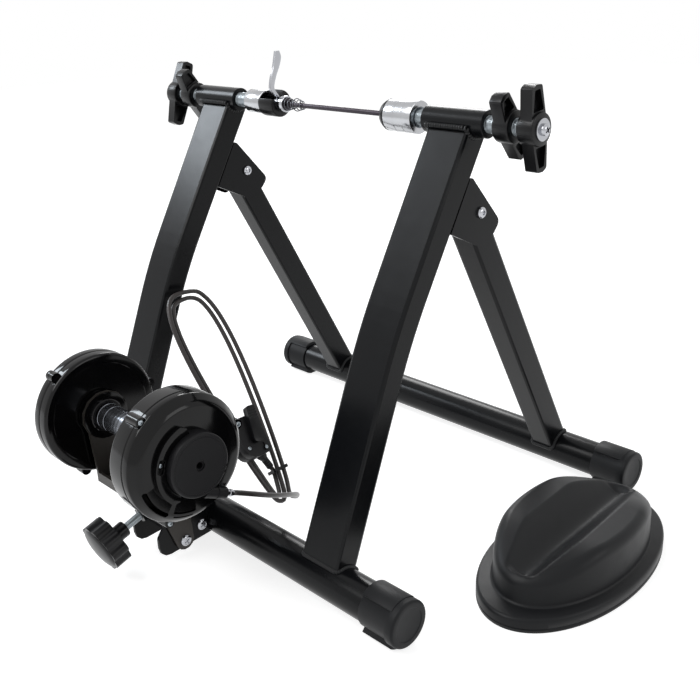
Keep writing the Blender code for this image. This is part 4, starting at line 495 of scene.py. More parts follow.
class Form:
    """A mesh in the making, in design coordinates, that is cut, joined, softened and settled."""

    def __init__(self, name: str, shape: bmesh.types.BMesh) -> None:
        """Start a form.

        Args:
            name: The form's name, without the ending that a finished piece gets.
            shape: Its first shape, which is used up.
        """
        self.name = name
        self.object = add_object(name, bpy.data.meshes.new(name))
        self.tools: list[bpy.types.Object] = []
        bmesh.ops.remove_doubles(shape, verts=shape.verts, dist=0.000001)
        bmesh.ops.recalc_face_normals(shape, faces=shape.faces)
        shape.to_mesh(self.object.data)
        shape.free()

    @classmethod
    def lathe(
        cls,
        name: str,
        profile: Sequence[Pair],
        start: Vector,
        direction: Vector,
        steps: int = 96,
        closed: bool = False,
    ) -> "Form":
        """Revolve a profile of (distance, radius) pairs about a line.

        Args:
            name: The form's name.
            profile: Distance along the line and radius, in order along the outside.
            start: Where distance zero lies.
            direction: The way in which distance grows.
            steps: How many facets go round.
            closed: Whether the last point joins the first, as on a ring.

        Returns:
            The new form.
        """
        shape = bmesh.new()
        turn = turn_to(direction)
        rings = []
        for distance, radius in profile:
            ring = []
            for angle in full_turn(steps):
                spoke = Vector((radius * math.cos(angle), radius * math.sin(angle), distance))
                ring.append(shape.verts.new(start + turn @ spoke))
            rings.append(ring)
        skin(shape, rings, closed)
        return cls(name, shape)

    @classmethod
    def rod(cls, name: str, start: Vector, end: Vector, radius: float, steps: int = 48) -> "Form":
        """Make a round bar between two points."""
        profile = [(0, 0), (0, radius), ((end - start).length, radius), ((end - start).length, 0)]
        return cls.lathe(name, profile, start, end - start, steps)

    @classmethod
    def box(cls, name: str, low: Sequence[float], high: Sequence[float]) -> "Form":
        """Make a box, for cutting.

        Args:
            name: The form's name.
            low: The corner with the lowest coordinates.
            high: The corner with the highest.

        Returns:
            The new form.
        """
        shape = bmesh.new()
        bmesh.ops.create_cube(shape, size=1.0)
        bmesh.ops.scale(shape, vec=Vector(high) - Vector(low), verts=shape.verts)
        bmesh.ops.translate(shape, vec=(Vector(high) + Vector(low)) / 2, verts=shape.verts)
        return cls(name, shape)

    @classmethod
    def plate(
        cls,
        name: str,
        outline: Sequence[Pair],
        low: float,
        high: float,
        facing: Matrix = FACING_X,
        place: Vector | None = None,
        holes: Iterable[Sequence[Pair]] = (),
    ) -> "Form":
        """Extrude a flat outline along its normal.

        Args:
            name: The form's name.
            outline: Points in the outline's plane.
            low: Where the plate starts along its normal.
            high: Where it ends.
            facing: The rotation of the outline's plane.
            place: The point about which the outline is drawn.
            holes: Further outlines that are left open.

        Returns:
            The new form.
        """
        curve = bpy.data.curves.new(name, "CURVE")
        curve.dimensions = "2D"
        curve.fill_mode = "BOTH"
        curve.extrude = (high - low) / 2
        for ring in (outline, *holes):
            spline = curve.splines.new("POLY")
            spline.points.add(len(ring) - 1)
            for point, (first, second) in zip(spline.points, ring):
                point.co = (first, second, 0.0, 1.0)
            spline.use_cyclic_u = True
        drawn = add_object(name, curve)
        mesh = plain_mesh(drawn)
        shift = (place or Vector()) + facing @ Vector((0.0, 0.0, (low + high) / 2))
        mesh.transform(Matrix.Translation(shift) @ facing.to_4x4())
        bpy.data.objects.remove(drawn)
        shape = bmesh.new()
        shape.from_mesh(mesh)
        return cls(name, shape)

    @classmethod
    def sweep(cls, name: str, path: Sequence[Vector], radius: float, sides: int = 16) -> "Form":
        """Make a round cord along a path without twist.

        Args:
            name: The form's name.
            path: The cord's middle line.
            radius: The cord's radius.
            sides: How many facets go round.

        Returns:
            The new form.
        """
        shape = bmesh.new()
        rings = []
        across = (path[1] - path[0]).normalized().orthogonal().normalized()
        for index, point in enumerate(path):
            before = path[max(index - 1, 0)]
            after = path[min(index + 1, len(path) - 1)]
            way = (after - before).normalized()
            across = (across - way * across.dot(way)).normalized()
            other = way.cross(across)
            spokes = [across * math.cos(a) + other * math.sin(a) for a in full_turn(sides)]
            rings.append([shape.verts.new(point + spoke * radius) for spoke in spokes])
        skin(shape, rings, capped=True)
        return cls(name, shape)

    def modify(self, kind: str, settings: dict) -> "Form":
        """Add a modifier.

        Args:
            kind: Blender's name for the kind of modifier.
            settings: The modifier's settings by name.

        Returns:
            The form itself.
        """
        step = self.object.modifiers.new(kind.title(), kind)
        for key, value in settings.items():
            setattr(step, key, value)
        return self

    def cut(self, *others: "Form") -> "Form":
        """Take other forms away and return the form."""
        return self.combine("DIFFERENCE", others)

    def join(self, *others: "Form") -> "Form":
        """Join other forms on and return the form."""
        return self.combine("UNION", others)

    def combine(self, operation: str, others: Iterable["Form"]) -> "Form":
        """Add one boolean step for each other form.

        Args:
            operation: Blender's name for the operation.
            others: The forms to join or take away.

        Returns:
            The form itself.
        """
        for other in others:
            self.tools += [other.object, *other.tools]
            self.modify("BOOLEAN", {"operation": operation, "object": other.object})
        return self

    def cross(self, seat: Vector, direction: Vector, turn: float, arm: Pair, span: Pair) -> "Form":
        """Cut a cross recess for a screwdriver.

        Args:
            seat: The middle of the face that the head lies on.
            direction: The way the head points.
            turn: How far the cross is turned, in degrees.
            arm: Half an arm's length and half its width.
            span: Where the recess starts and ends over the seat.

        Returns:
            The form itself.
        """
        for angle in (turn, turn + 90.0):
            facing = turn_to(direction) @ Matrix.Rotation(math.radians(angle), 3, "Z")
            self.cut(Form.plate(self.name + "_cross", rectangle(*arm), *span, facing, seat))
        return self

    def soften(self, width: float, segments: int = 3, angle: float = 32.0) -> "Form":
        """Round the sharp edges and return the form."""
        sizes = {"width": width, "segments": segments, "angle_limit": math.radians(angle)}
        return self.modify("BEVEL", {"limit_method": "ANGLE", **sizes})

    def mesh(self) -> bpy.types.Mesh:
        """Finish the mesh and clear the tools away.

        Returns:
            The mesh in the frame's own coordinates.
        """
        made = plain_mesh(self.object)
        made.transform(Matrix.Translation(ORIGIN))
        for tool in {*self.tools, self.object}:
            bpy.data.objects.remove(tool)
        return made

    def settle(self, finish: Finish, body: str, *nodes: str, smooth: float = 35.0) -> bpy.types.Object:
        """Turn the form into a finished piece, as keep does."""
        return keep(self.name, self.mesh(), finish, body, *nodes, smooth=smooth)


def cover(mesh: bpy.types.Mesh, finish: Finish) -> None:
    """Give every face of a mesh one finish.

    Args:
        mesh: The mesh.
        finish: What it is made of.
    """
    mesh.materials.clear()
    mesh.materials.append(finish.material())
    for face in mesh.polygons:
        face.material_index = 0


def keep(
    name: str, mesh: bpy.types.Mesh, finish: Finish, body: str, *nodes: str, smooth: float = 35.0
) -> bpy.types.Object:
    """Make a finished piece from a mesh in the frame's coordinates.

    Args:
        name: The piece's name, before its ending.
        mesh: The piece's mesh.
        finish: What the piece is made of.
        body: The frame's body that carries it.
        *nodes: The solids that the piece stands for.
        smooth: Edges sharper than this angle in degrees stay sharp.

    Returns:
        The finished piece.
    """
    cover(mesh, finish)
    mesh.shade_smooth()
    mesh.set_sharp_from_angle(angle=math.radians(smooth))
    mesh.name = name
    piece = add_object(name + "_look", mesh)
    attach(piece, body)
    if nodes:
        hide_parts(*nodes)
    LOG.info("%s rides on %s", piece.name, body)
    return piece


def dress(finish: Finish, *nodes: str) -> None:
    """Give solids that keep their own shape a better finish.

    Args:
        finish: What they are made of.
        *nodes: Their names.
    """
    for node in nodes:
        cover(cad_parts[node].data, finish)
        LOG.info("%s keeps its shape", node)


class Grower:
    """A geometry node tree with named sizes, run once and kept as a plain mesh."""

    def __init__(self, name: str, sizes: dict[str, float]) -> None:
        """Start a tree.

        Args:
            name: The tree's name.
            sizes: The tree's named inputs and their values.
        """
        self.sizes = sizes
        self.tree = bpy.data.node_groups.new(name, "GeometryNodeTree")
        face = self.tree.interface
        face.new_socket("Geometry", in_out="INPUT", socket_type="NodeSocketGeometry")
        face.new_socket("Geometry", in_out="OUTPUT", socket_type="NodeSocketGeometry")
        for label in sizes:
            face.new_socket(label, in_out="INPUT", socket_type="NodeSocketFloat")
        self.inputs = add_node(self.tree, "NodeGroupInput").outputs

    def end(self, geometry: bpy.types.NodeSocket, finish: Finish) -> None:
        """Close the tree with real instances and their material.

        Args:
            geometry: What the tree has made.
            finish: What that is made of.
        """
        real = add_node(self.tree, "GeometryNodeRealizeInstances", links={"Geometry": geometry})
        paint = {"Material": finish.material()}
        links = {"Geometry": real.outputs["Geometry"]}
        painted = add_node(self.tree, "GeometryNodeSetMaterial", paint, links)
        add_node(self.tree, "NodeGroupOutput", links={"Geometry": painted.outputs["Geometry"]})

    def run(self, base: bpy.types.Object) -> bpy.types.Mesh:
        """Run the tree on a base object.

        Args:
            base: The object whose curve or mesh the tree reads. It is removed.

        Returns:
            The resulting plain mesh, in design coordinates.
        """
        step = base.modifiers.new("Grown", "NODES")
        step.node_group = self.tree
        for item in self.tree.interface.items_tree:
            if item.item_type == "SOCKET" and item.name in self.sizes:
                step[item.identifier] = self.sizes[item.name]
        made = plain_mesh(base)
        bpy.data.objects.remove(base)
        return made


def drawn_path(name: str, points: Sequence[Vector], cyclic: bool = False) -> bpy.types.Object:
    """Draw a curve through points, for a tree to follow.

    Args:
        name: The curve's name.
        points: The points in design coordinates.
        cyclic: Whether the curve closes on itself.

    Returns:
        The curve's object.
    """
    curve = bpy.data.curves.new(name, "CURVE")
    curve.dimensions = "3D"
    spline = curve.splines.new("POLY")
    spline.points.add(len(points) - 1)
    for point, place in zip(spline.points, points):
        point.co = (*place, 1.0)
    spline.use_cyclic_u = cyclic
    return add_object(name, curve)


@dataclass
class WeldBead:
    """Overlapping ripples of weld metal along a seam."""

    width: float = 0.0046
    spacing: float = 0.0016
    sink: float = 0.55

    def lay(self, name: str, seam: Sequence[Vector], body: str) -> bpy.types.Object:
        """Lay a bead along a closed seam.

        Args:
            name: The piece's name.
            seam: Points along the seam, in design coordinates.
            body: The body that carries the seam.

        Returns:
            The finished bead.
        """
        grower = Grower(name + "_tree", {"Spacing": self.spacing, "Radius": self.width / 2})
        tree, inputs = grower.tree, grower.inputs
        along = {"Curve": inputs["Geometry"], "Length": inputs["Spacing"]}
        points = add_node(tree, "GeometryNodeCurveToPoints", {"mode": "LENGTH"}, along).outputs
        count = {"Segments": 12, "Rings": 8}
        ripple = add_node(tree, "GeometryNodeMeshUVSphere", count, {"Radius": inputs["Radius"]}).outputs
        sources = {"Points": points["Points"], "Instance": ripple["Mesh"], "Rotation": points["Rotation"]}
        flat = {"Scale": (1.0, 1.0, self.sink)}
        ripples = add_node(tree, "GeometryNodeInstanceOnPoints", flat, sources)
        grower.end(ripples.outputs["Instances"], COATED_WELD)
        made = grower.run(drawn_path(name, seam, True))
        made.transform(Matrix.Translation(ORIGIN))
        return keep(name, made, COATED_WELD, body, smooth=60.0)


@dataclass
class Thread:
    """A rolled thread: one ridge that winds round a rod."""

    radius: float
    pitch: float
    ridge: float

    def wind(
        self, name: str, start: Vector, direction: Vector, length: float, body: str, finish: Finish
    ) -> None:
        """Wind the ridge along a rod.

        Args:
            name: The piece's name.
            start: Where the thread starts on the rod's axis, in design coordinates.
            direction: The way in which it runs.
            length: The thread's length.
            body: The body that carries the rod.
            finish: What the rod is made of.
        """
        sizes = {"Turns": length / self.pitch, "Radius": self.radius, "Height": length, "Ridge": self.ridge}
        grower = Grower(name + "_tree", sizes)
        tree, inputs = grower.tree, grower.inputs
        sources = {"Rotations": inputs["Turns"], "Height": inputs["Height"]}
        sources |= {"Start Radius": inputs["Radius"], "End Radius": inputs["Radius"]}
        helix = add_node(tree, "GeometryNodeCurveSpiral", {"Resolution": 28}, sources).outputs["Curve"]
        size = {"Radius": inputs["Ridge"]}
        section = add_node(tree, "GeometryNodeCurvePrimitiveCircle", {"Resolution": 6}, size).outputs["Curve"]
        lines = {"Curve": helix, "Profile Curve": section}
        ridge = add_node(tree, "GeometryNodeCurveToMesh", {"Fill Caps": True}, lines)
        grower.end(ridge.outputs["Mesh"], finish)
        made = grower.run(drawn_path(name, [Vector(), Vector((0.0, 0.0, 1.0))]))
        made.transform(Matrix.Translation(ORIGIN + start) @ turn_to(direction).to_4x4())
        keep(name, made, finish, body, smooth=60.0)


@dataclass
class CrossScrew:
    """A pan-head screw with a cross recess."""

    radius: float = 0.0026
    height: float = 0.0018

    def fit(self, name: str, seat: Vector, direction: Vector, body: str) -> None:
        """Fit the screw's head on a seat.

        Args:
            name: The piece's name.
            seat: The middle of the face that the head lies on.
            direction: The way the head points.
            body: The body that carries the screw.
        """
        r, h = self.radius, self.height
        profile = [(0.0, 0.0), (0.0, r), (0.45 * h, r), (0.75 * h, 0.86 * r), (0.94 * h, 0.6 * r), (h, 0.0)]
        head = Form.lathe(name, profile, seat, direction, 32)
        head.cross(seat, direction, 20.0, (0.55 * r, 0.13 * r), (0.35 * h, 2.0 * h)).settle(ZINC, body)


@dataclass
class Studio:
    """The camera at the photograph's viewpoint, a pale floor and soft lamps."""

    eye: Vector = vector_field(0.6900, -0.4674, 0.5188)
    forward: Vector = vector_field(-0.6721, 0.6461, -0.3616)
    up: Vector = vector_field(-0.2357, 0.2763, 0.9317)
    aim: Vector = vector_field(0.0, 0.0, 0.2)
    focal_pixels: float = 941.0
    frame_pixels: float = 700.0
    centre_right: float = 348.9
    centre_down: float = 341.6
    floor_size: float = 9.0

    def build(self) -> None:
        """Set up camera, world, floor and lamps."""
        self.camera()
        self.world()
        self.floor()
        self.lamps()
        bpy.context.scene.view_settings.view_transform = "Standard"

    def camera(self) -> None:
        """Place the camera that was solved from the photograph's straight edges."""
        data = bpy.data.cameras.new("camera")
        data.sensor_width = 36.0
        data.lens = self.focal_pixels / self.frame_pixels * data.sensor_width
        data.shift_x = (self.frame_pixels / 2 - self.centre_right) / self.frame_pixels
        data.shift_y = (self.centre_down - self.frame_pixels / 2) / self.frame_pixels
        data.clip_start = 0.05
        data.clip_end = 50.0
        item = add_object("camera", data)
        back = -self.forward.normalized()
        right = self.up.cross(back).normalized()
        turn = Matrix((right, back.cross(right), back)).transposed()
        item.matrix_world = Matrix.Translation(ORIGIN + self.eye) @ turn.to_4x4()
        bpy.context.scene.camera = item

    def world(self) -> None:
        """Show a white surround to the eye and to reflections, and a grey one to matt surfaces."""
        world = bpy.data.worlds.new("surround")
        bpy.context.scene.world = world
        tree = empty_tree(world)
        limits = {"To Min": 0.40, "To Max": 1.0}
        strength = add_node(tree, "ShaderNodeMapRange", limits, {"Value": self.seen_directly(tree)})
        level = {"Strength": strength.outputs["Result"]}
        light = add_node(tree, "ShaderNodeBackground", {"Color": WHITE}, level)
        add_node(tree, "ShaderNodeOutputWorld", links={"Surface": light.outputs["Background"]})

    @staticmethod
    def seen_directly(tree: bpy.types.NodeTree) -> bpy.types.NodeSocket:
        """Tell the rays that see a surface or a background from those that it only lights.

        Args:
            tree: The tree that gets the nodes.

        Returns:
            A socket that is one for camera, glossy and transmission rays, and else zero.
        """
        rays = add_node(tree, "ShaderNodeLightPath").outputs
        either = {"operation": "MAXIMUM"}
        seen = add_node(tree, "ShaderNodeMath", either, {0: rays["Is Camera Ray"], 1: rays["Is Glossy Ray"]})
        links = {0: seen.outputs[0], 1: rays["Is Transmission Ray"]}
        return add_node(tree, "ShaderNodeMath", either, links).outputs[0]

    def floor(self) -> None:
        """Lay a pale floor that keeps the trainer's soft shadow."""
        half = self.floor_size / 2
        shape = bmesh.new()
        shape.faces.new([shape.verts.new((x, y, 0.0)) for x, y in rectangle(half, half)])
        mesh = bpy.data.meshes.new("floor")
        shape.to_mesh(mesh)
        shape.free()
        paper = bpy.data.materials.new("matt_studio_paper")
        tree = empty_tree(paper)
        limits = {"To Min": 0.0, "To Max": 0.80}
        glow = add_node(tree, "ShaderNodeMapRange", limits, {"Value": self.seen_directly(tree)})
        matt = add_node(tree, "ShaderNodeBsdfDiffuse", {"Color": (0.52, 0.52, 0.52, 1.0)})
        level = {"Strength": glow.outputs["Result"]}
        lit = add_node(tree, "ShaderNodeEmission", {"Color": WHITE}, level)
        links = {0: matt.outputs["BSDF"], 1: lit.outputs["Emission"]}
        both = add_node(tree, "ShaderNodeAddShader", links=links)
        add_node(tree, "ShaderNodeOutputMaterial", links={"Surface": both.outputs["Shader"]})
        mesh.materials.append(paper)
        item = add_object("floor", mesh)

    def lamps(self) -> None:
        """Hang a key over the left shoulder, a strip behind, a weak fill and a cool window."""
        white, cool = (1.0, 1.0, 1.0), (0.86, 0.93, 1.0)
        for name, place, size, power, colour in (
            ("key_softbox", (-0.7, -1.6, 2.1), 1.3, 28.0, white),
            ("back_strip", (-1.5, 1.6, 1.5), 0.9, 22.0, white),
            ("side_fill", (2.1, 0.6, 1.1), 1.0, 7.0, white),
            ("window", (-2.0, -0.85, 1.58), 0.75, 28.0, cool),
        ):
            data = bpy.data.lights.new(name, "AREA")
            data.size = size
            data.energy = power
            data.color = colour
            item = add_object(name, data)
            item.location = place
            item.rotation_euler = (self.aim - Vector(place)).to_track_quat("-Z", "Y").to_euler()


@dataclass
class BaseTubes:
    """The two round base tubes and the uprights, legs and brackets between them."""

    radius: float = BASE_RADIUS
    wall: float = 0.0016
    rim: float = 0.0003
    clamp_radius: float = 0.012
    clamp_inner: float = 0.133
    clamp_outer: float = 0.2003
    clamp_rim: float = 0.0006
    upright_x: float = 0.164
    leg_x: float = 0.1665

    def build(self) -> None:
        """Build the tubes, dress the uprights and legs, and lay the welds."""
        self.tube("front_base_tube", 0.0, FRONT_HALF, "stand")
        self.tube("rear_base_tube", REAR_Y, REAR_HALF, "rear_frame")
        for hand, way in (("left", -1.0), ("right", 1.0)):
            self.clamp_tube(hand, way)
            dress(POWDER_COAT, hand + "_upright", hand + "_rear_leg", hand + "_hinge_bracket")
            self.welds(hand, way)

    def tube(self, name: str, y: float, half: float, body: str) -> None:
        """Draw one open base tube with softened rims.

        Args:
            name: The tube's name.
            y: Where its axis lies.
            half: Half its length.
            body: The body that carries it.
        """
        r, b, e, length = self.radius, self.radius - self.wall, self.rim, 2 * half
        profile = [(0.0, b + e), (0.0, r - e), (e, r), (length - e, r), (length, r - e), (length, b + e)]
        profile += [(length - e, b), (e, b)]
        start = Vector((-half, y, BASE_AXIS_HEIGHT))
        Form.lathe(name, profile, start, AXIS_X, 128, True).settle(POWDER_COAT, body, name)

    def clamp_tube(self, hand: str, way: float) -> None:
        """Draw the short tube over an upright's top.

        Args:
            hand: The side's name.
            way: Which way is outwards along X.
        """
        r, b, e = self.clamp_radius, SPINDLE_RADIUS + CLEAR, self.clamp_rim
        length = self.clamp_outer - self.clamp_inner
        profile = [(0.0, b), (0.0, r - e), (e, r), (length - e, r), (length, r - e), (length, b)]
        name = hand + "_clamp_tube"
        item = Form.lathe(name, profile, clamp_axis(way * self.clamp_inner), AXIS_X * way, 96, True)
        item.settle(POWDER_COAT, "stand", name)

    def welds(self, hand: str, way: float) -> None:
        """Lay the beads where an upright and a leg meet the round tubes.

        Args:
            hand: The side's name.
            way: Which way is outwards along X.
        """
        upright = self.saddle(way * self.upright_x, 0.0447, 0.0244, 22.0, 0.0)
        WeldBead().lay(hand + "_upright_weld", upright, "stand")
        leg = self.saddle(way * self.leg_x, 0.0261, 0.02765, -28.5, REAR_Y)
        WeldBead().lay(hand + "_leg_weld", leg, "rear_frame")
        crown = self.crown(way * self.upright_x, 0.0216)
        WeldBead(0.0052, 0.0027).lay(hand + "_clamp_weld", crown, "stand")

    def crown(self, x: float, half: float) -> list[Vector]:
        """Return the seam round an upright's top, under the clamp tube.

        Args:
            x: The upright's middle.
            half: Half the seam's length along the clamp tube.

        Returns:
            Points of the closed seam.
        """
        axis = (CLAMP_Y, CLAMP_Z)
        near = self.clamp_radius + 0.0020
        front, back = on_circle(axis, near, 192.0), on_circle(axis, near, 336.0)
        under = arc(axis, self.clamp_radius + 0.0006, 200.0, 328.0, 24)
        across = [half * (step / 12 - 1.0) for step in range(25)]
        seam = [Vector((x + off, *front)) for off in across]
        seam += [Vector((x + half, *point)) for point in under]
        seam += [Vector((x - off, *back)) for off in across]
        seam += [Vector((x - half, *point)) for point in reversed(under)]
        return seam

    def saddle(self, x: float, width: float, depth: float, lean: float, y: float) -> list[Vector]:
        """Return the seam where a leaning square tube stands on a base tube.

        Args:
            x: The leaning tube's middle.
            width: Its size along the round tube.
            depth: Its size across.
            lean: How far its top leans to the rear, in degrees.
            y: Where the round tube's axis lies.

        Returns:
            Points of the closed seam.
        """
        axis = Vector((y, BASE_AXIS_HEIGHT))
        angle = math.radians(lean)
        up = Vector((math.sin(angle), math.cos(angle)))
        back = Vector((math.cos(angle), -math.sin(angle)))
        corner, proud, parts = 0.003, 0.0004, 10
        corners = rectangle(width / 2 + proud, depth / 2 + proud)
        ring = rounded([(*place, corner) for place in corners], 4)
        seam = []
        for (across, off), after in zip(ring, ring[1:] + ring[:1]):
            for step in range(parts):
                share = step / parts
                side = across + (after[0] - across) * share
                reach = off + (after[1] - off) * share
                rise = math.sqrt(max((self.radius + proud) ** 2 - reach * reach, 0.0))
                place = axis + back * reach + up * rise
                seam.append(Vector((x + side, place.x, place.y)))
        return seam


@dataclass
class FootCaps:
    """The four stepped end caps that the trainer stands on."""

    bore: float = BASE_RADIUS + CLEAR
    wall: float = 0.0013
    length: float = 0.040
    end: float = 0.004
    disc: float = 0.0216
    disc_depth: float = 0.007
    disc_edge: float = 0.0022
    top_pad: float = 0.0222
    low_pad: float = 0.0244
    pad_angle: float = 38.0

    def build(self) -> None:
        """Build all four caps."""
        for end, y, half in (("front", 0.0, FRONT_HALF), ("rear", REAR_Y, REAR_HALF)):
            for hand, way in (("left", -1.0), ("right", 1.0)):
                self.cap(f"{hand}_{end}_foot", way, y, half)

    def section(self, axis: Pair) -> Outline:
        """Return the stepped section: a low pad with a flat, a top pad and the sleeve.

        Args:
            axis: The tube's axis as (Y, Z).

        Returns:
            The section's outline.
        """
        sleeve = self.bore + self.wall
        low, high, span = -90.0 - self.pad_angle, 90.0 - self.pad_angle, 2 * self.pad_angle
        flat = math.degrees(math.acos(BASE_AXIS_HEIGHT / self.low_pad))
        return [
            *arc(axis, self.low_pad, low, -90.0 - flat, 8),
            *arc(axis, self.low_pad, -90.0 + flat, low + span, 8),
            *arc(axis, sleeve, low + span, high, 20),
            *arc(axis, self.top_pad, high, high + span, 24),
            *arc(axis, sleeve, high + span, low + 360.0, 20),
        ]

    def cap(self, name: str, way: float, y: float, half: float) -> None:
        """Build one cap with its end disc, softened like a moulding.

        Args:
            name: The cap's name.
            way: Which way is outwards along X.
            y: Where the tube's axis lies.
            half: Half the tube's length.
        """
        outer = half + CLEAR + self.end
        inner = outer - self.length
        pad_end = outer - self.disc_depth
        low, high = sorted((way * inner, way * pad_end))
        item = Form.plate(name, self.section((y, BASE_AXIS_HEIGHT)), low, high)
        r, d, sunk = self.disc, self.disc_depth, 0.0006
        profile = [(-d / 4, 0.0), (-d / 4, r), *quarter_round(r, self.disc_edge, d)]
        profile += [(d, r * 0.72), (d - sunk, r * 0.69), (d - sunk, 0.0)]
        start = Vector((way * pad_end, y, BASE_AXIS_HEIGHT))
        disc = Form.lathe(name + "_disc", profile, start, AXIS_X * way, 96)
        mouth = Vector((way * (inner - CLEAR), y, BASE_AXIS_HEIGHT))
        stop = Vector((way * (half + CLEAR), y, BASE_AXIS_HEIGHT))
        bore = Form.rod(name + "_bore", mouth, stop, self.bore, 96)
        item.join(disc).cut(bore).soften(0.0007, 2, 40.0).settle(CAP_PVC, name + "_body", name)


def clamp_axis(x: float) -> Vector:
    """Return a point on the axis that the clamps and the skewer share."""
    return Vector((x, CLAMP_Y, CLAMP_Z))


@dataclass(frozen=True)
class ClampSide:
    """Where the pieces of one axle clamp lie, counted outwards from the trainer's middle."""

    hand: str
    way: float
    cup_x: float
    cup_length: float
    cup_radius: float
    socket: float
    lock_x: float
    lock_tilt: float
    drive_x: float
    drive_tilt: float
    grooves: tuple[float, ...] = ()


@dataclass
class AxleClamps:
    """The two clamps: cups, threaded spindles, lock handles and drive handles."""

    left: ClampSide = ClampSide("left", -1.0, 0.0892, 0.0245, 0.0121, 0.0082, 0.2095, 28.6, 0.237, -17.8)
    right: ClampSide = ClampSide(
        "right", 1.0, 0.0896, 0.0334, 0.0148, 0.0204, 0.212, 30.6, 0.2363, 8.9, (0.0125, 0.0222)
    )
    seat: float = 0.010
    core: float = 0.0071
    pitch: float = 0.003
    hub: float = 0.014
    hub_length: float = 0.0162
    hub_end: float = 0.0035
    hub_edge: float = 0.0016
    arm_thickness: float = 0.0115
    arm_root: float = 0.0095
    arm_tip: float = 0.0068
    pocket_depth: float = 0.0046
    lock_span: float = 0.062
    drive_span: float = 0.072
    cup_socket: float = 0.0095
    bevel: float = 0.0008

    def build(self) -> None:
        """Build both clamps."""
        for side in (self.left, self.right):
            self.cup(side)
            self.screw(side)
            self.handle(side, "lock", side.lock_x, self.lock_span, side.lock_tilt)
            self.handle(side, "drive", side.drive_x, self.drive_span, side.drive_tilt)
            self.end_screw(side)
        self.rim()
        self.collar()

    def cup(self, side: ClampSide) -> None:
        """Turn one polished cup.

        Args:
            side: The clamp's side.
        """
        b, length, radius, hollow = self.bevel, side.cup_length, side.cup_radius, self.cup_socket
        seat, bore, cut = length - self.seat - CLEAR, SPINDLE_RADIUS + CLEAR, 0.0003
        profile = [(side.socket, 0.0), (side.socket, hollow), (b / 2, hollow), (0.0, hollow + b / 2)]
        profile += eased(0.0, radius, b)
        for groove in side.grooves:
            profile += [(groove, radius), (groove + cut, radius - cut), (groove + 2 * cut, radius)]
        profile += eased(length, radius, -b)
        profile += [(length, SPINDLE_RADIUS + 0.0018), (length - 0.0016, bore), (seat, bore), (seat, 0.0)]
        name = side.hand + "_cup"
        item = Form.lathe(name, profile, clamp_axis(side.way * side.cup_x), AXIS_X * side.way, 128)
        item.settle(ALUMINIUM, side.hand + "_clamp", name, smooth=28.0)

    def rim(self) -> None:
        """Draw the black tapered ring on the right cup's open end."""
        r, length, bore = 0.0146, 0.0068, 0.0082
        profile = [(0.0, self.cup_socket), (0.0, r - 0.0003), (0.0003, r), (0.0014, r), (0.0018, r - 0.0001)]
        profile += [(length - 0.0004, 0.0118), (length, 0.0112), (length, bore), (0.0020, bore)]
        start = clamp_axis(self.right.cup_x - CLEAR / 3)
        item = Form.lathe("right_cup_rim", profile, start, -AXIS_X, 128, True)
        item.settle(NYLON, "right_clamp", "right_cup_rim")

    def collar(self) -> None:
        """Draw the black notched collar on the left cup, where the lever comes out."""
        r, length, bore, b = 0.0137, 0.0225, 0.0064, 0.0014
        profile = [(0.0, bore), (0.0, self.left.cup_radius), (b, r), *eased(length, r, -b), (length, bore)]
        start = clamp_axis(-self.left.cup_x + 0.0001)
        item = Form.lathe("left_cup_collar", profile, start, AXIS_X, 128, True)
        axis = (CLAMP_Y, CLAMP_Z)
        wedge = [axis, *arc(axis, 3 * r, 76.0, 156.0, 10)]
        item.cut(Form.plate("collar_notch", wedge, -0.1117, -0.0442)).soften(0.0007, 3, 40.0)
        item.settle(NYLON, "left_clamp", "left_cup_collar")

    def screw(self, side: ClampSide) -> None:
        """Draw one threaded spindle: a core with one ridge wound round it.

        Args:
            side: The clamp's side.
        """
        inner = side.cup_x + side.cup_length - self.seat
        length = side.drive_x + self.hub_length - self.hub_end - 0.0001 - inner
        plain = self.seat + 0.0012
        r, core, b = SPINDLE_RADIUS, self.core, 0.0006
        profile = [(0.0, 0.0), (0.0, core), (b, r), (plain - 0.0008, r), (plain, core)]
        profile += [(length - b, core), (length, core - b), (length, 0.0)]
        name, way = side.hand + "_spindle", AXIS_X * side.way
        body = name + "_body"
        Form.lathe(name, profile, clamp_axis(side.way * inner), way, 96).settle(ZINC, body, name)
        thread = Thread(core - 0.0002, self.pitch / 2, 0.0007)
        begin = clamp_axis(side.way * (inner + plain))
        thread.wind(name + "_thread", begin, way, length - plain - 0.002, body, ZINC)

    def outline(self, span: float) -> Outline:
        """Return a two-armed handle's outline with waisted arms.

        Args:
            span: The tip-to-tip length.

        Returns:
            The outline about the handle's axis.
        """
        root, tip, corner = self.arm_root, self.arm_tip, 0.0026
        reach, foot = span / 2 - tip, self.hub * 0.75
        arm = [(root, foot, 0.0), (tip, reach + tip - 0.0012, corner), (-tip * 0.2, reach + tip, 0.0)]
        arm += [(-tip, reach + tip - 0.0022, corner), (-root, foot, 0.0)]
        half = rounded(arm) + arc((0.0, 0.0), self.hub, 140.0, 220.0, 12)
        return half + [(-y, -z) for y, z in half]

    def pocket(self, span: float) -> Outline:
        """Return the outline of the tapered recess in one arm.

        Args:
            span: The handle's tip-to-tip length.

        Returns:
            The outline about the handle's axis.
        """
        tip, wall, near = span / 2 - 0.0042, 0.0024, self.hub * 1.04
        corners = [(self.arm_root - wall, near, 0.0012), (self.arm_tip - wall - 0.0006, tip, 0.0014)]
        corners += [(-self.arm_tip + wall + 0.0010, tip, 0.0014), (-self.arm_root + wall, near, 0.0012)]
        return rounded(corners)

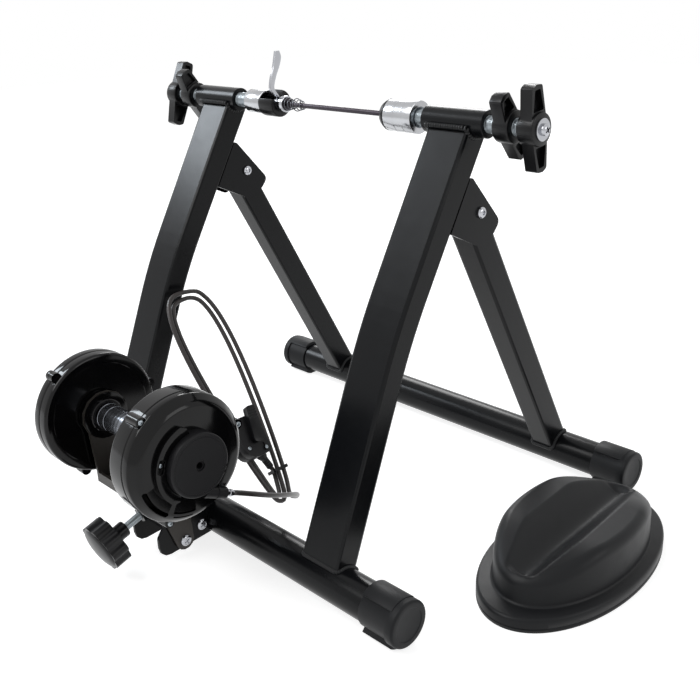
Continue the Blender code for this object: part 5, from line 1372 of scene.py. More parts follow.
    def handle(self, side: ClampSide, kind: str, start: float, span: float, tilt: float) -> None:
        """Mould one handle with a hub and two hollow arms.

        Args:
            side: The clamp's side.
            kind: Lock or drive.
            start: Where the hub starts.
            span: The tip-to-tip length.
            tilt: How far the upper arm leans forward, in degrees.
        """
        name, way = f"{side.hand}_{kind}_handle", side.way
        half, hub_half = self.arm_thickness / 2, self.hub_length / 2
        place = clamp_axis(way * (start + hub_half))
        angle = math.radians(tilt)
        up = Vector((0.0, -math.sin(angle), math.cos(angle)))
        facing = Matrix((Vector((0.0, up.z, -up.y)), up, AXIS_X)).transposed()
        item = Form.plate(name, self.outline(span), -half, half, facing, place)
        rims = eased(-hub_half, self.hub, self.hub_edge) + eased(hub_half, self.hub, -self.hub_edge)
        profile = [(-hub_half, 0.0), *rims, (hub_half, 0.0)]
        item.join(Form.lathe(name + "_hub", profile, place, AXIS_X, 96))
        for flip in (1.0, -1.0):
            pocket = [(y * flip, z * flip) for y, z in self.pocket(span)]
            for face in (1.0, -1.0):
                low, high = sorted((face * (half - self.pocket_depth), face * 2 * half))
                item.cut(Form.plate(name + "_pocket", pocket, low, high, facing, place))
        closed = kind == "drive"
        end = start + self.hub_length - (self.hub_end if closed else -self.hub_length)
        mouth = clamp_axis(way * (start - self.hub_length))
        item.cut(Form.rod(name + "_bore", mouth, clamp_axis(way * end), SPINDLE_RADIUS + 0.0001, 64))
        if closed:
            reach = clamp_axis(way * (start + 2 * self.hub_length))
            item.cut(Form.rod(name + "_hole", clamp_axis(way * start), reach, 0.0029, 32))
        body = f"{side.hand}_{'spindle' if closed else 'lock'}_body"
        item.soften(0.0007, 3, 40.0).settle(NYLON, body, name)

    def end_screw(self, side: ClampSide) -> None:
        """Fit the washer and the cross screw on a drive handle's end.

        Args:
            side: The clamp's side.
        """
        shank, washer, r = self.hub_end - 0.0001, 0.0092, 0.0050
        profile = [(-shank, 0.0), (-shank, 0.0028), (0.0001, 0.0028), (0.0001, washer - 0.0002)]
        profile += [(0.0003, washer), (0.0014, washer), (0.0017, washer - 0.0003), (0.0017, r)]
        profile += [(0.0036, r), (0.0048, 0.86 * r), (0.0056, 0.55 * r), (0.0058, 0.0)]
        name, way = side.hand + "_drive_screw", AXIS_X * side.way
        face = clamp_axis(side.way * (side.drive_x + self.hub_length))
        item = Form.lathe(name, profile, face, way, 64)
        item.cross(face, way, 35.0, (0.003, 0.0007), (0.0034, 0.008))
        item.settle(CHROME, side.hand + "_spindle_body", name)


@dataclass
class Skewer:
    """The quick-release skewer: rod, head, cam lever, two cone springs and the nut."""

    head_x: float = -0.0575
    pivot_x: float = -0.070
    rod_end: float = 0.0905
    radius: float = 0.0025
    wire: float = 0.0005
    turns: float = 3.0
    spring_length: float = 0.0125
    big: float = 0.0066
    small: float = 0.0036
    squareness: float = 0.55

    def build(self) -> None:
        """Build the skewer's pieces."""
        self.head()
        self.bar()
        first = self.head_x + 0.0001 + self.wire
        self.spring("outer_skewer_spring", first)
        self.spring("inner_skewer_spring", first + self.spring_length + self.wire)
        self.lever()
        self.nut()

    def head(self) -> None:
        """Turn the head: a bright ring with a dark recess, slotted for the lever."""
        r, rim, fork, b = 0.0082, 0.0055, 0.0063, 0.0008
        profile = [(0.0034, 0.0), (0.0034, 0.0060), (0.0003, 0.0066), (0.0, 0.0069), *eased(0.0, r, b)]
        profile += [(rim - 0.3 * b, r), (rim, r - 0.3 * b), (rim + b, fork), (0.0143, fork)]
        profile += [(0.0150, fork - 0.0007), (0.0150, 0.0)]
        item = Form.lathe("skewer_head", profile, clamp_axis(self.head_x), -AXIS_X, 96)
        half, deep = 0.0045, 0.019
        low = (self.head_x - deep, CLAMP_Y - half, CLAMP_Z - deep)
        high = (self.pivot_x + 0.0047, CLAMP_Y + half, CLAMP_Z + deep)
        item.cut(Form.box("head_slot", low, high)).soften(0.0004, 2, 40.0)
        item.settle(CHROME, "left_clamp", "skewer_head")
        seat = [(0.0, 0.0026), (0.0, 0.0062), (0.0030, 0.0059), (0.0030, 0.0026)]
        item = Form.lathe("skewer_head_seat", seat, clamp_axis(self.head_x - 0.0004), -AXIS_X, 64, True)
        item.settle(BLACK_OXIDE, "left_clamp")

    def bar(self) -> None:
        """Draw the dark rod with its rolled thread at the nut's end."""
        length = self.rod_end - self.head_x
        r, rolled = self.radius, self.radius - 0.0002
        profile = [(0.0, 0.0), (0.0, r), (length - 0.018, r), (length - 0.0175, rolled)]
        profile += [(length - 0.0005, rolled), (length, r - 0.0006), (length, 0.0)]
        item = Form.lathe("skewer_rod", profile, clamp_axis(self.head_x + 0.0001), AXIS_X, 48)
        item.settle(BLACK_OXIDE, "left_clamp", "skewer_rod")

    def spring(self, name: str, start_x: float) -> None:
        """Wind one cone spring with closed ends.

        Args:
            name: The spring's name.
            start_x: Where its big end starts.
        """
        steps = int(self.turns * 32)
        points = []
        for step in range(steps + 1):
            share = step / steps
            angle = 2 * math.pi * self.turns * share
            radius = self.big + (self.small - self.big) * share
            x = start_x + (self.spring_length - 2 * self.wire) * share
            points.append(Vector((x, CLAMP_Y + radius * math.cos(angle), CLAMP_Z + radius * math.sin(angle))))
        Form.sweep(name, points, self.wire, 10).settle(SPRING_STEEL, "left_clamp", name, smooth=60.0)

    def lever(self) -> None:
        """Forge the cam lever: a blade that bows out of the notch and widens for the thumb."""
        # Each row is how far forward, how high, half the blade's width and half its thickness.
        spine = (
            (0.0000, 0.0000, 0.0036, 0.0017),
            (-0.0008, 0.0045, 0.0029, 0.0017),
            (-0.0045, 0.0095, 0.0033, 0.0017),
            (-0.0082, 0.0135, 0.0033, 0.0016),
            (-0.0090, 0.0180, 0.0033, 0.0015),
            (-0.0062, 0.0275, 0.0040, 0.0014),
            (-0.0018, 0.0370, 0.0047, 0.0013),
            (0.0006, 0.0455, 0.0049, 0.0012),
            (0.0004, 0.0518, 0.0032, 0.0010),
        )
        path = smooth_curve([Vector((y, z, half)) for y, z, half, _ in spine], 0.0008)
        thick = smooth_curve([Vector((z, depth, 0.0)) for _, z, _, depth in spine], 0.0008)
        shape = bmesh.new()
        rings = []
        for index, point in enumerate(path):
            depth = thick[round(index * (len(thick) - 1) / (len(path) - 1))].y
            ring = []
            for angle in full_turn(24):
                across = squared_off(math.cos(angle), self.squareness) * point.z
                deep = squared_off(math.sin(angle), self.squareness) * depth
                place = (self.pivot_x + deep, CLAMP_Y + point.x + across, CLAMP_Z + point.y)
                ring.append(shape.verts.new(place))
            rings.append(ring)
        skin(shape, rings, capped=True)
        item = Form("skewer_lever", shape)
        half = Vector((0.0, 0.0041, 0.0))
        pivot = clamp_axis(self.pivot_x)
        item.join(Form.rod("lever_cam", pivot - half, pivot + half, 0.0046, 64))
        item.settle(CHROME, "skewer_lever_body", "skewer_lever", smooth=50.0)

    def nut(self) -> None:
        """Turn the adjusting nut with its ribbed waist."""
        r, length, bore = 0.0078, 0.0115, 0.0026
        profile = [(0.0, bore), (0.0, 0.78 * r), (0.0018, 0.97 * r), (0.0024, r)]
        for step in range(5):
            x = 0.0030 + 0.0011 * step
            profile += [(x, r), (x + 0.0003, 0.95 * r), (x + 0.0006, 0.95 * r), (x + 0.0009, r)]
        profile += [(0.0088, r), (0.0105, 0.85 * r), (length, 0.70 * r), (length, bore)]
        item = Form.lathe("skewer_nut", profile, clamp_axis(0.0842), AXIS_X, 64, True)
        item.settle(CHROME, "skewer_nut_body", "skewer_nut")


@dataclass
class ResistanceUnit:
    """The roller between the flywheel's cover and the drum, with its yoke, screws and knob."""

    y: float = -0.076
    z: float = 0.1414
    radius: float = 0.058
    wall: float = 0.0025
    edge: float = 0.003
    lip: float = 0.0006
    hole: float = 0.0078
    left_x: float = -0.058
    left_inner: float = 0.011
    left_outer: float = 0.0108
    right_x: float = 0.050
    right_back: float = 0.0197
    right_front: float = 0.0163
    lug_orbit: float = 0.0590
    lug_radius: float = 0.0050
    lug_angles: tuple[float, ...] = (9.0, 129.0, 249.0)
    pulley: float = 0.0247
    drum: float = 0.029
    drum_depth: float = 0.0127
    drum_edge: float = 0.0016
    shaft_bore: float = 0.0061
    tension_rise: float = 18.4
    tension_tip: Vector = vector_field(-0.011, -0.0504, 0.0574)

    def build(self) -> None:
        """Build the unit from the flywheel's side to the drum's side."""
        self.back("flywheel_cover_inner", self.left_x, -1.0, self.left_inner)
        self.flywheel_outer()
        self.back("drum_housing_back", self.right_x, 1.0, self.right_back)
        self.housing_front()
        self.drum_cover()
        self.ferrule()
        self.carrier()
        self.roller()
        self.bearings()
        self.tension_screw()
        self.knob()
        dress(OLIVE_PAINT, "yoke")
        dress(POWDER_COAT, "mount_bracket")
        dress(CAST_IRON, "flywheel")
        dress(ALUMINIUM, "rotor_disc")
        dress(TURNED_STEEL, "roller_shaft")
        self.bolt("pivot_bolt", -0.0356, 0.0146, (-0.0459, 0.0177))
        self.bolt("fixing_bolt", -0.033, 0.012, (-0.0243, 0.0245))

    def at(self, x: float) -> Vector:
        """Return a point on the roller's axis."""
        return Vector((x, self.y, self.z))

    def around(self, orbit: float, angle: float) -> Pair:
        """Return a point about the roller's axis as (Y, Z)."""
        return on_circle((self.y, self.z), orbit, angle)

    def cover(
        self, name: str, start: float, way: float, outer: Outline, inner: Outline, span: Pair, *tools: Form
    ) -> None:
        """Mould one cover half: the outer form with its lugs, hollowed by the inner form.

        Args:
            name: The cover's name.
            start: Where the profile starts along X.
            way: Which way it grows.
            outer: The outer profile.
            inner: The hollow's profile.
            span: Where the lugs start and end along the profile.
            *tools: Further forms to cut away.
        """
        place, along = self.at(start), AXIS_X * way
        item = Form.lathe(name, outer, place, along, 160)
        low, high = sorted(start + way * distance for distance in span)
        for angle in self.lug_angles:
            y, z = self.around(self.lug_orbit, angle)
            ends = Vector((low, y, z)), Vector((high, y, z))
            item.join(Form.rod(name + "_lug", *ends, self.lug_radius, 48))
        item.cut(Form.lathe(name + "_hollow", inner, place, along, 160), *tools)
        item.soften(0.0005, 2, 38.0).settle(GLOSS_ABS, "resistance_unit", name, smooth=30.0)

    def cover_screws(self, name: str, x: float, orbit: float, direction: Vector) -> None:
        """Fit a cross screw on each lug of a cover.

        Args:
            name: The screws' name, before their number.
            x: Where their seats lie.
            orbit: How far they are from the roller's axis.
            direction: The way the heads point.
        """
        for index, angle in enumerate(self.lug_angles):
            seat = Vector((x, *self.around(orbit, angle)))
            CrossScrew().fit(f"{name}_{index + 1}", seat, direction, "resistance_unit")

    def back(self, name: str, start: float, way: float, depth: float) -> None:
        """Mould the half that faces the roller: a dish with a raised rim and a hole for the shaft.

        Args:
            name: The cover's name.
            start: Where its face lies along X.
            way: Which way the dish opens.
            depth: The dish's depth.
        """
        r, e, w, lip = self.radius, self.edge, self.wall, self.lip
        outer = [(lip, 0.0), (lip, 0.0488), (0.0, 0.0494), *quarter_round(r, e)]
        outer += [(depth - 2 * lip, r), (depth - lip, r - lip), (depth, r - lip), (depth, 0.0)]
        inner = [(w, 0.0), (w, r - w - e / 2), (w + e / 2, r - w), (2 * depth, r - w), (2 * depth, 0.0)]
        reach = 2 * w
        hole = Form.rod(name + "_hole", self.at(start - reach), self.at(start + reach), self.hole, 64)
        self.cover(name, start, way, outer, inner, (depth / 2, depth), hole)

    def flywheel_outer(self) -> None:
        """Mould the flywheel cover's outer half: a dome with a stepped middle."""
        start = self.left_x - self.left_inner - 0.0001
        r, e, w, d, lip = self.radius, self.edge, self.wall, self.left_outer, self.lip
        outer = [(0.0, 0.0), (0.0, r - lip), (lip, r - lip), (2 * lip, r), *quarter_round(r, e, d)]
        outer += [(d, 0.0490), (d - lip, 0.0484), (d - lip, 0.0310), (d, 0.0304), (d, 0.0)]
        inner = [(-d, 0.0), (-d, r - w), (d - w - e / 2, r - w), (d - w, r - w - e / 2), (d - w, 0.0)]
        self.cover("flywheel_cover_outer", start, -1.0, outer, inner, (0.0, d / 2))
        seats = start - d / 2 - 0.0001
        self.cover_screws("flywheel_cover_screw", seats, self.lug_orbit + 0.0008, -AXIS_X)

    def housing_front(self) -> None:
        """Mould the drum side's half: a stepped face with three slots, a raised platform and a lip."""
        name = "drum_housing_front"
        start = self.right_x + self.right_back + 0.0001
        r, e, w, d, lip = self.radius, self.edge, self.wall, self.right_front, self.lip
        outer = [(0.0, 0.0), (0.0, r - lip), (lip, r - lip), (2 * lip, r), (d - 3.2 * e, r)]
        outer += [(d - 2.8 * e, r - 0.0004), (d - 2.6 * e, r - 0.0010), (d - 1.1 * e, r - 1.45 * e)]
        outer += [(d - 0.6 * e, r - 2.0 * e), (d - 0.2 * e, r - 2.7 * e), (d, r - 3.3 * e), (d, 0.0)]
        inner = [(-d, 0.0), (-d, r - w), (d - 3 * e, r - w), (d - w, r - w - 3 * e), (d - w, 0.0)]
        ends = self.at(start - d), self.at(start + 2 * d)
        opening = Form.rod(name + "_opening", *ends, self.pulley + 0.0001, 96)
        span = (start + w, start + 2 * d)
        slots = (
            self.slot(name, (-165.0, -128.0), 0.0497, 0.0046, span),
            self.slot(name, (-119.0, -93.0), 0.0462, 0.0015, span),
            self.slot(name, (-117.0, -95.0), 0.0502, 0.0015, span),
        )
        self.cover(name, start, 1.0, outer, inner, (0.0, d / 3), opening, *slots)
        seats = start + d / 3 - 0.0002
        self.cover_screws("drum_housing_screw", seats, self.lug_orbit + 0.0006, AXIS_X)
        self.platform(start + d)
        self.slot_lip(start + d)

    def slot(self, name: str, sweep: Pair, orbit: float, width: float, span: Pair, steps: int = 24) -> Form:
        """Return a curved slot with round ends about the roller's axis.

        Args:
            name: The piece that gets the slot.
            sweep: The first and the last angle in degrees.
            orbit: The slot's middle radius.
            width: Its width.
            span: Where it starts and ends along X.
            steps: How many chords each side has.

        Returns:
            The slot as a solid.
        """
        axis, half = (self.y, self.z), width / 2
        far = arc(axis, orbit + half, *sweep, steps)
        near = arc(axis, orbit - half, *sweep, steps)
        first = arc(self.around(orbit, sweep[0]), half, sweep[0] + 180.0, sweep[0] + 360.0, 8)[1:-1]
        last = arc(self.around(orbit, sweep[1]), half, sweep[1], sweep[1] + 180.0, 8)[1:-1]
        return Form.plate(name + "_slot", far + last + near[::-1] + first, *span)

    def platform(self, face: float) -> None:
        """Add the raised platform round the drum, with its guide screw in a long recess.

        Args:
            face: Where the housing's front face lies along X.
        """
        axis, orbit = (self.y, self.z), 0.0338
        rim = [self.around(0.0345, -122.0), *arc(axis, 0.0388, -130.0, -254.0, 40), self.around(0.0345, 98.0)]
        inside = arc(axis, 0.0292, 96.0, 240.0, 40)
        item = Form.plate("drum_platform", [*inside, *rim], face - 0.0003, face + 0.0052)
        recess = self.slot("platform", (158.0, 172.0), orbit, 0.0050, (face + 0.0026, face + 0.010), 8)
        item.cut(recess).soften(0.0014, 3, 38.0).settle(GLOSS_ABS, "resistance_unit")
        seat = Vector((face + 0.0025, *self.around(orbit, 163.0)))
        CrossScrew(0.0021, 0.0016).fit("drum_guide_screw", seat, AXIS_X, "resistance_unit")

    def slot_lip(self, face: float) -> None:
        """Add the thin raised lip along the outer edge of the curved slot.

        Args:
            face: Where the housing's front face lies along X.
        """
        line = arc((self.y, self.z), 0.0516, -166.0, -127.0, 39)
        path = [Vector((face - 0.0030, *point)) for point in line]
        Form.sweep("slot_lip", path, 0.0009, 12).settle(GLOSS_ABS, "resistance_unit", smooth=60.0)

    def drum_cover(self) -> None:
        """Mould the matt drum with its centre hole, edge notches and the barrel for the cable."""
        face = self.right_x + self.right_back + self.right_front + 0.0002
        r, d, w, hole = self.drum, self.drum_depth, self.wall, 0.0046
        profile = [(0.0, r - w - 0.0015), (0.0, r), *quarter_round(r, self.drum_edge, d), (d, 0.0262)]
        profile += [(d - 0.0003, 0.0259), (d - 0.0003, 0.0253), (d, 0.0250), (d, hole + 0.0004)]
        profile += [(d - 0.0004, hole), (d - w, hole), (d - w, r - w - 0.0015)]
        item = Form.lathe("drum_cover", profile, self.at(face), AXIS_X, 128, True)
        way, end = BARREL_WAY, BARREL_END
        item.join(Form.rod("cable_barrel", end - way * 0.024, end, 0.0053, 64))
        item.join(Form.rod("barrel_collar", end - way * 0.0105, end - way * 0.0075, 0.0057, 64))
        item.cut(Form.rod("drum_hollow", self.at(face - d), self.at(face + d - w), r - w, 96))
        item.cut(Form.rod("cable_passage", end - way * 0.030, end + way * 0.010, 0.0019, 32))
        for angle in (-20.0, -31.0):
            notch = Vector((face + d, *self.around(r, angle)))
            item.cut(Form.rod("drum_notch", notch - AXIS_X * 0.0028, notch + AXIS_X * 0.01, 0.0016, 24))
        item.soften(0.0004, 2, 40.0).settle(GRAINED_ABS, "resistance_unit", "drum_cover")

    def ferrule(self) -> None:
        """Turn the bright ferrule in the barrel's mouth, which the cable comes out of."""
        wide, neck = 0.0034, 0.0028
        profile = [(0.0, 0.0), (0.0, 0.0030), (0.0004, wide), (0.0030, wide), (0.0034, neck), (0.0044, neck)]
        profile += [(0.0048, 0.0033), (0.0072, 0.0033), (0.0076, neck), (0.0090, 0.0027), (0.0090, 0.0)]
        item = Form.lathe("cable_ferrule", profile, BARREL_END + BARREL_WAY * 0.0001, BARREL_WAY, 48)
        item.settle(CHROME, "resistance_unit", "cable_ferrule")

    def carrier(self) -> None:
        """Turn the magnet carrier: a plate with a grooved pulley and a hollow boss."""
        start, plate, pulley, boss, hollow = 0.0635, 0.0040, self.pulley, 0.0043, 0.0032
        face = self.right_x + self.right_back + self.right_front + self.drum_depth - self.wall
        face -= start + 0.0002
        groove = pulley - 0.0015
        profile = [(0.0, 0.0), (0.0, 0.0494), (0.0004, 0.0498), (plate, 0.0498), (plate, pulley)]
        profile += [(0.70 * face, pulley), (0.74 * face, groove), (0.90 * face, groove)]
        profile += [(0.94 * face, pulley), (face, pulley), (face, boss), (face + 0.0014, boss)]
        profile += [(face + 0.0014, hollow), (face - 0.008, hollow), (face - 0.008, 0.0)]
        item = Form.lathe("magnet_carrier", profile, self.at(start), AXIS_X, 96)
        item.settle(GRAINED_ABS, "magnet_drum", "magnet_carrier")

    def roller(self) -> None:
        """Turn the steel roller with a bright ring and a set-screw hole at its left end."""
        left, right, r, groove = -0.0476, 0.0422, 0.0127, 0.0003
        length, bore, low = right - left, self.shaft_bore, r - groove
        profile = [(0.0, bore), (0.0, r - 0.0010), (0.0003, low), (0.0010, r), (0.0024, r), (0.0026, low)]
        profile += [(0.0030, low), (0.0032, r), (0.0124, r), (0.0126, low), (0.0130, low), (0.0132, r)]
        profile += [(length - 0.0010, r), (length - 0.0003, low), (length, r - 0.0010), (length, bore)]
        item = Form.lathe("roller", profile, self.at(left), AXIS_X, 128, True)
        hole = self.at(left + 0.0078)
        turn = math.radians(108.0)
        out = Vector((0.0, math.cos(turn), math.sin(turn)))
        item.cut(Form.rod("set_screw_hole", hole + out * 0.0095, hole + out * 0.02, 0.0021, 32))
        item.settle(TURNED_STEEL, "roller_and_flywheel", "roller")

    def bearings(self) -> None:
        """Draw the two black bearing housings with their stepped hubs."""
        bore, hub, flange, thick, collar = self.shaft_bore, 0.016, 0.022, 0.0031, 0.0226
        for hand, inner, outer, way in (("left", 0.0482, 0.0540, -1.0), ("right", 0.0423, 0.0460, 1.0)):
            depth = outer + 0.0001 - inner
            profile = [(0.0, bore), (0.0, hub - 0.0008), (0.0007, hub)]
            if hand == "left":
                profile += [(0.0009, 0.0206), (0.0015, collar), (0.0027, collar), (0.0027, hub)]
            profile += [(depth, hub), (depth, flange - 0.0006), (depth + 0.0006, flange)]
            profile += [(depth + thick, flange), (depth + thick, bore)]
            name = hand + "_bearing_housing"
            item = Form.lathe(name, profile, self.at(way * inner), AXIS_X * way, 96, True)
            item.settle(GLOSS_ABS, "resistance_unit", name)

    def tension_way(self) -> Vector:
        """Return the way of the tension screw, from the knob to the yoke."""
        rise = math.radians(self.tension_rise)
        return Vector((0.0, math.cos(rise), math.sin(rise)))

    def tension_screw(self) -> None:
        """Draw the tension screw: a zinc core with its thread."""
        way = self.tension_way()
        start = self.tension_tip - way * 0.0705
        core = 0.0036
        profile = [(0.0, 0.0), (0.0, core), (0.0690, core), (0.0700, 0.0014), (0.0700, 0.0)]
        Form.lathe("tension_rod", profile, start, way, 48).settle(ZINC, "tension_screw", "tension_rod")
        thread = Thread(core, 0.0015, 0.0004)
        thread.wind("tension_thread", start + way * 0.018, way, 0.050, "tension_screw", ZINC)

    def knob(self) -> None:
        """Mould the fluted knob with its domed face and its neck."""
        way, tip = self.tension_way(), self.tension_tip
        across = Vector((0.0, -way.z, way.y))
        facing = Matrix((across.cross(way), across, way)).transposed()
        lobes, radius, depth = 10, 0.0245, 0.0026
        outline = []
        for angle in full_turn(16 * lobes):
            wave = 0.5 - 0.5 * math.cos(lobes * angle)
            reach = radius - depth * wave**1.6
            outline.append((reach * math.cos(angle), reach * math.sin(angle)))
        neck_end, neck_length, thickness = 0.0455, 0.0135, 0.0165
        back = -neck_end - neck_length
        front = back - thickness
        item = Form.plate("tension_knob", outline, front, back, facing, tip)
        crown = [(-0.0001, 0.0), (-0.0001, 0.0215), (0.0010, 0.0205), (0.0022, 0.0170), (0.0032, 0.0115)]
        crown += [(0.0038, 0.0055), (0.0040, 0.0)]
        item.join(Form.lathe("knob_crown", crown, tip + way * front, -way, 96))
        neck = [(0.0, 0.0), (0.0, 0.0070), (0.0008, 0.0078), (0.0100, 0.0078), (0.0118, 0.0086)]
        neck += [(0.0145, 0.0105), (0.0220, 0.0105), (0.0220, 0.0)]
        item.join(Form.lathe("knob_neck", neck, tip - way * neck_end, -way, 64))
        item.cut(Form.rod("knob_hole", tip - way * 0.0706, tip, 0.0041, 48))
        item.soften(0.0008, 3, 35.0).settle(NYLON, "tension_knob_body", "tension_knob")

    @staticmethod
    def bolt(name: str, low: float, high: float, axis: Pair) -> None:
        """Draw a bolt of the bracket: a button head with a cross in a raised ring.

        Args:
            name: The bolt's name.
            low: Where its shank starts along X.
            high: Where its shank ends.
            axis: Its axis as (Y, Z).
        """
        r, shank, h, proud = 0.0058, 0.003, 0.003, 0.0031
        start = low - proud
        length = high + proud - start
        profile = [(0.0, 0.0), (0.0, 0.8 * r), (0.0006, r), (h, r), (h, shank), (length - h, shank)]
        profile += [(length - h, r), (length - 0.0018, r), (length - 0.0009, 0.92 * r)]
        profile += [(length - 0.0002, 0.74 * r), (length, 0.66 * r), (length, 0.60 * r)]
        profile += [(length - 0.0004, 0.55 * r), (length - 0.0004, 0.0)]
        item = Form.lathe(name, profile, Vector((start, *axis)), AXIS_X, 64)
        face = Vector((start + length, *axis))
        item.cross(face, AXIS_X, 25.0, (0.0027, 0.0006), (-0.0018, 0.002)).settle(CHROME, "stand", name)


@dataclass
class Cable:
    """The one cable: from the drum, through two loops of the hank, into the shifter's boot."""

    radius: float = 0.0024
    origin: Vector = vector_field(0.020, 0.0735, 0.0030)
    up: Vector = vector_field(-0.6, 0.0, 0.8)
    out: Vector = vector_field(0.8, 0.0, 0.6)
    length: float = 0.256
    loops: int = 2
    pitch: float = 0.0064
    lift: float = 0.0028
    waist: float = 0.0185
    spread: float = 0.10
    roundness: float = 0.6
    first_turn: float = 0.06
    last_turn: float = 2.03
    shifter_along: float = 0.0795

    def build(self) -> None:
        path = self.route()
        mesh = Form.sweep("shift_cable", path, self.radius, 16).mesh()
        cover(mesh, JACKET)
        mesh.shade_smooth()
        mesh.name = "shift_cable"
        piece = add_object("shift_cable_look", mesh)
        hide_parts("shift_cable_lead", "shift_cable_hank")
        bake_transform(piece)

    def hank_point(self, turns: float) -> Vector:
        """Find a point on the hank.

        Args:
            turns: How many turns the point lies from the hank's lower end.

        Returns:
            The point.
        """
        angle = 2 * math.pi * turns
        inset = self.pitch * turns
        length = self.length - 2 * inset
        along = inset + length * (0.5 - 0.5 * math.cos(angle))
        swing = squared_off(math.sin(angle), self.roundness)
        across = (self.waist - inset + self.spread * along) * swing
        lift = self.lift * (self.loops - turns)
        return self.origin + AXIS_Y * across + self.up * along + self.out * lift

    def boot(self) -> tuple[Vector, Vector, Vector]:
        """Find the shifter's boot.

        Returns:
            Where the cable enters it, which way the cable runs there, and where the boot ends.
        """
        mouth = self.origin + AXIS_Y * 0.0060 + self.up * 0.0440 + self.out * 0.0010
        along = self.shifter_along - SHIFTER_HEIGHT / 2 + 0.0058
        root = self.origin + self.up * along + self.out * 0.0132
        root.y = SHIFTER_Y + SHIFTER_WIDTH / 4
        return mouth, (root - mouth).normalized(), root

    def route(self) -> list[Vector]:
        """Lay the cable's middle line.

        Returns:
            Evenly spaced points from the ferrule to the boot.
        """
        start = BARREL_END + BARREL_WAY * 0.0092
        straight = 3 * self.radius
        knots = [start, start + BARREL_WAY * straight]
        bends = [(0.0925, -0.0180, 0.0870), (0.0900, 0.0030, 0.0755), (0.0820, 0.0250, 0.0630)]
        bends += [(0.0690, 0.0470, 0.0490), (0.0520, 0.0660, 0.0340), (0.0340, 0.0790, 0.0190)]
        knots += [Vector(place) for place in bends]
        steps = self.loops * 24
        stretch = self.last_turn - self.first_turn
        hank = [self.hank_point(self.first_turn + stretch * step / steps) for step in range(steps + 1)]
        mouth, into, _ = self.boot()
        hank.append(hank[-1].lerp(mouth, 0.45) - into * straight * 0.6)
        hank.append(mouth - into * straight)
        hank.append(mouth - into * 0.0001)
        return smooth_curve(knots + hank, 0.003)


@dataclass
class Shifter:
    """The handlebar shifter on the hank, its lever, its boot and the band round the strands."""

    half: float = SHIFTER_WIDTH / 2
    tall: float = SHIFTER_HEIGHT / 2
    thickness: float = 0.022
    corners: tuple[float, ...] = (0.012, 0.007, 0.010, 0.005)
    slot: tuple[Pair, ...] = ((0.004, -0.019), (0.009, -0.019), (0.009, -0.010), (0.004, -0.010))
    cable: Cable = field(default_factory=Cable)

    def build(self) -> None:
        """Build the shifter on the strands under it."""
        cable = self.cable
        facing = Matrix((AXIS_Y, cable.up, cable.out)).transposed()
        centre = cable.origin + cable.up * cable.shifter_along
        centre.y = SHIFTER_Y
        low, high = self.depths()
        item = Form.plate("shifter_housing", self.outline(0.0), low, high, facing, centre)
        item.cut(self.groove(facing, centre, high), self.seam(facing, centre, low))
        item.join(self.sleeve()).soften(0.0012, 3, 45.0).settle(GRAINED_ABS, "stand", "shifter_housing")
        for index, (across, along) in enumerate(((-0.66, -0.50), (0.62, -0.74))):
            seat = centre + facing @ Vector((across * self.half, along * self.tall, high))
            CrossScrew(0.0019, 0.0012).fit(f"shifter_screw_{index + 1}", seat, cable.out, "stand")
        self.lever(facing, centre, high + 0.0001)
        dress(NYLON, "cable_tie")

    def outline(self, inset: float) -> Outline:
        """Return the housing's rounded outline, drawn in by a distance."""
        places = rectangle(self.half - inset, self.tall - inset)
        return rounded([(*place, corner - inset) for place, corner in zip(places, self.corners)], 10)

    def sleeve(self) -> Form:
        """Mould the ribbed boot that the cable enters.

        Returns:
            The boot, to be joined to the housing.
        """
        mouth, way, root = self.cable.boot()
        reach = (root - mouth).length
        profile = [(0.0, 0.0), (0.0, 0.0034), (0.0005, 0.0038)]
        for step in range(4):
            x = 0.10 * reach + 0.0030 * step
            profile += [(x, 0.0038), (x + 0.0006, 0.0033), (x + 0.0014, 0.0033), (x + 0.0020, 0.0038)]
        profile += [(0.75 * reach, 0.0058), (reach, 0.0058), (reach, 0.0)]
        return Form.lathe("shifter_boot", profile, mouth, way, 48)

    def depths(self) -> Pair:
        """Read from the housing's solid how far it stands out of the hank.

        Returns:
            Where its underside and its face lie.
        """
        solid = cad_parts["shifter_housing"]
        base, out = ORIGIN + self.cable.origin, self.cable.out
        high = max((solid.matrix_world @ vertex.co - base).dot(out) for vertex in solid.data.vertices)
        return high - self.thickness, high

    def groove(self, facing: Matrix, centre: Vector, high: float) -> Form:
        """Return the long shallow slot in the housing's face, as a solid to cut away."""
        outline = rounded([(*place, 0.0012) for place in self.slot])
        return Form.plate("shifter_groove", outline, high - 0.0018, high + 0.004, facing, centre)

    def seam(self, facing: Matrix, centre: Vector, low: float) -> Form:
        """Return the thin ring that parts the housing's two halves, as a solid to cut away."""
        outer, inner = rectangle(2 * self.half, 2 * self.tall), self.outline(0.0004)
        return Form.plate("shifter_seam", outer, low + 0.0105, low + 0.0111, facing, centre, (inner,))

    def lever(self, facing: Matrix, centre: Vector, low: float) -> None:
        """Mould the shift lever with thumb ribs.

        Args:
            facing: The rotation of the shifter's face.
            centre: The middle of the housing.
            low: Where the lever's underside lies.
        """
        half, tall = self.half, self.tall
        corners = [(-0.35 * half, -0.4 * tall, 0.004), (0.5 * half, -0.4 * tall, 0.005)]
        corners += [(0.9 * half, 1.3 * tall, 0.003), (0.2 * half, 1.35 * tall, 0.003)]
        item = Form.plate("shift_lever", rounded(corners, 8), low, low + 0.008, facing, centre)
        for step in range(4):
            up = (0.75 + 0.13 * step) * tall
            ends = [centre + facing @ Vector((across * half, up, low + 0.0083)) for across in (-0.3, 1.2)]
            item.cut(Form.rod("lever_rib", *ends, 0.0007, 16))
        item.soften(0.0014, 3, 45.0).settle(NYLON, "shift_lever_body", "shift_lever")


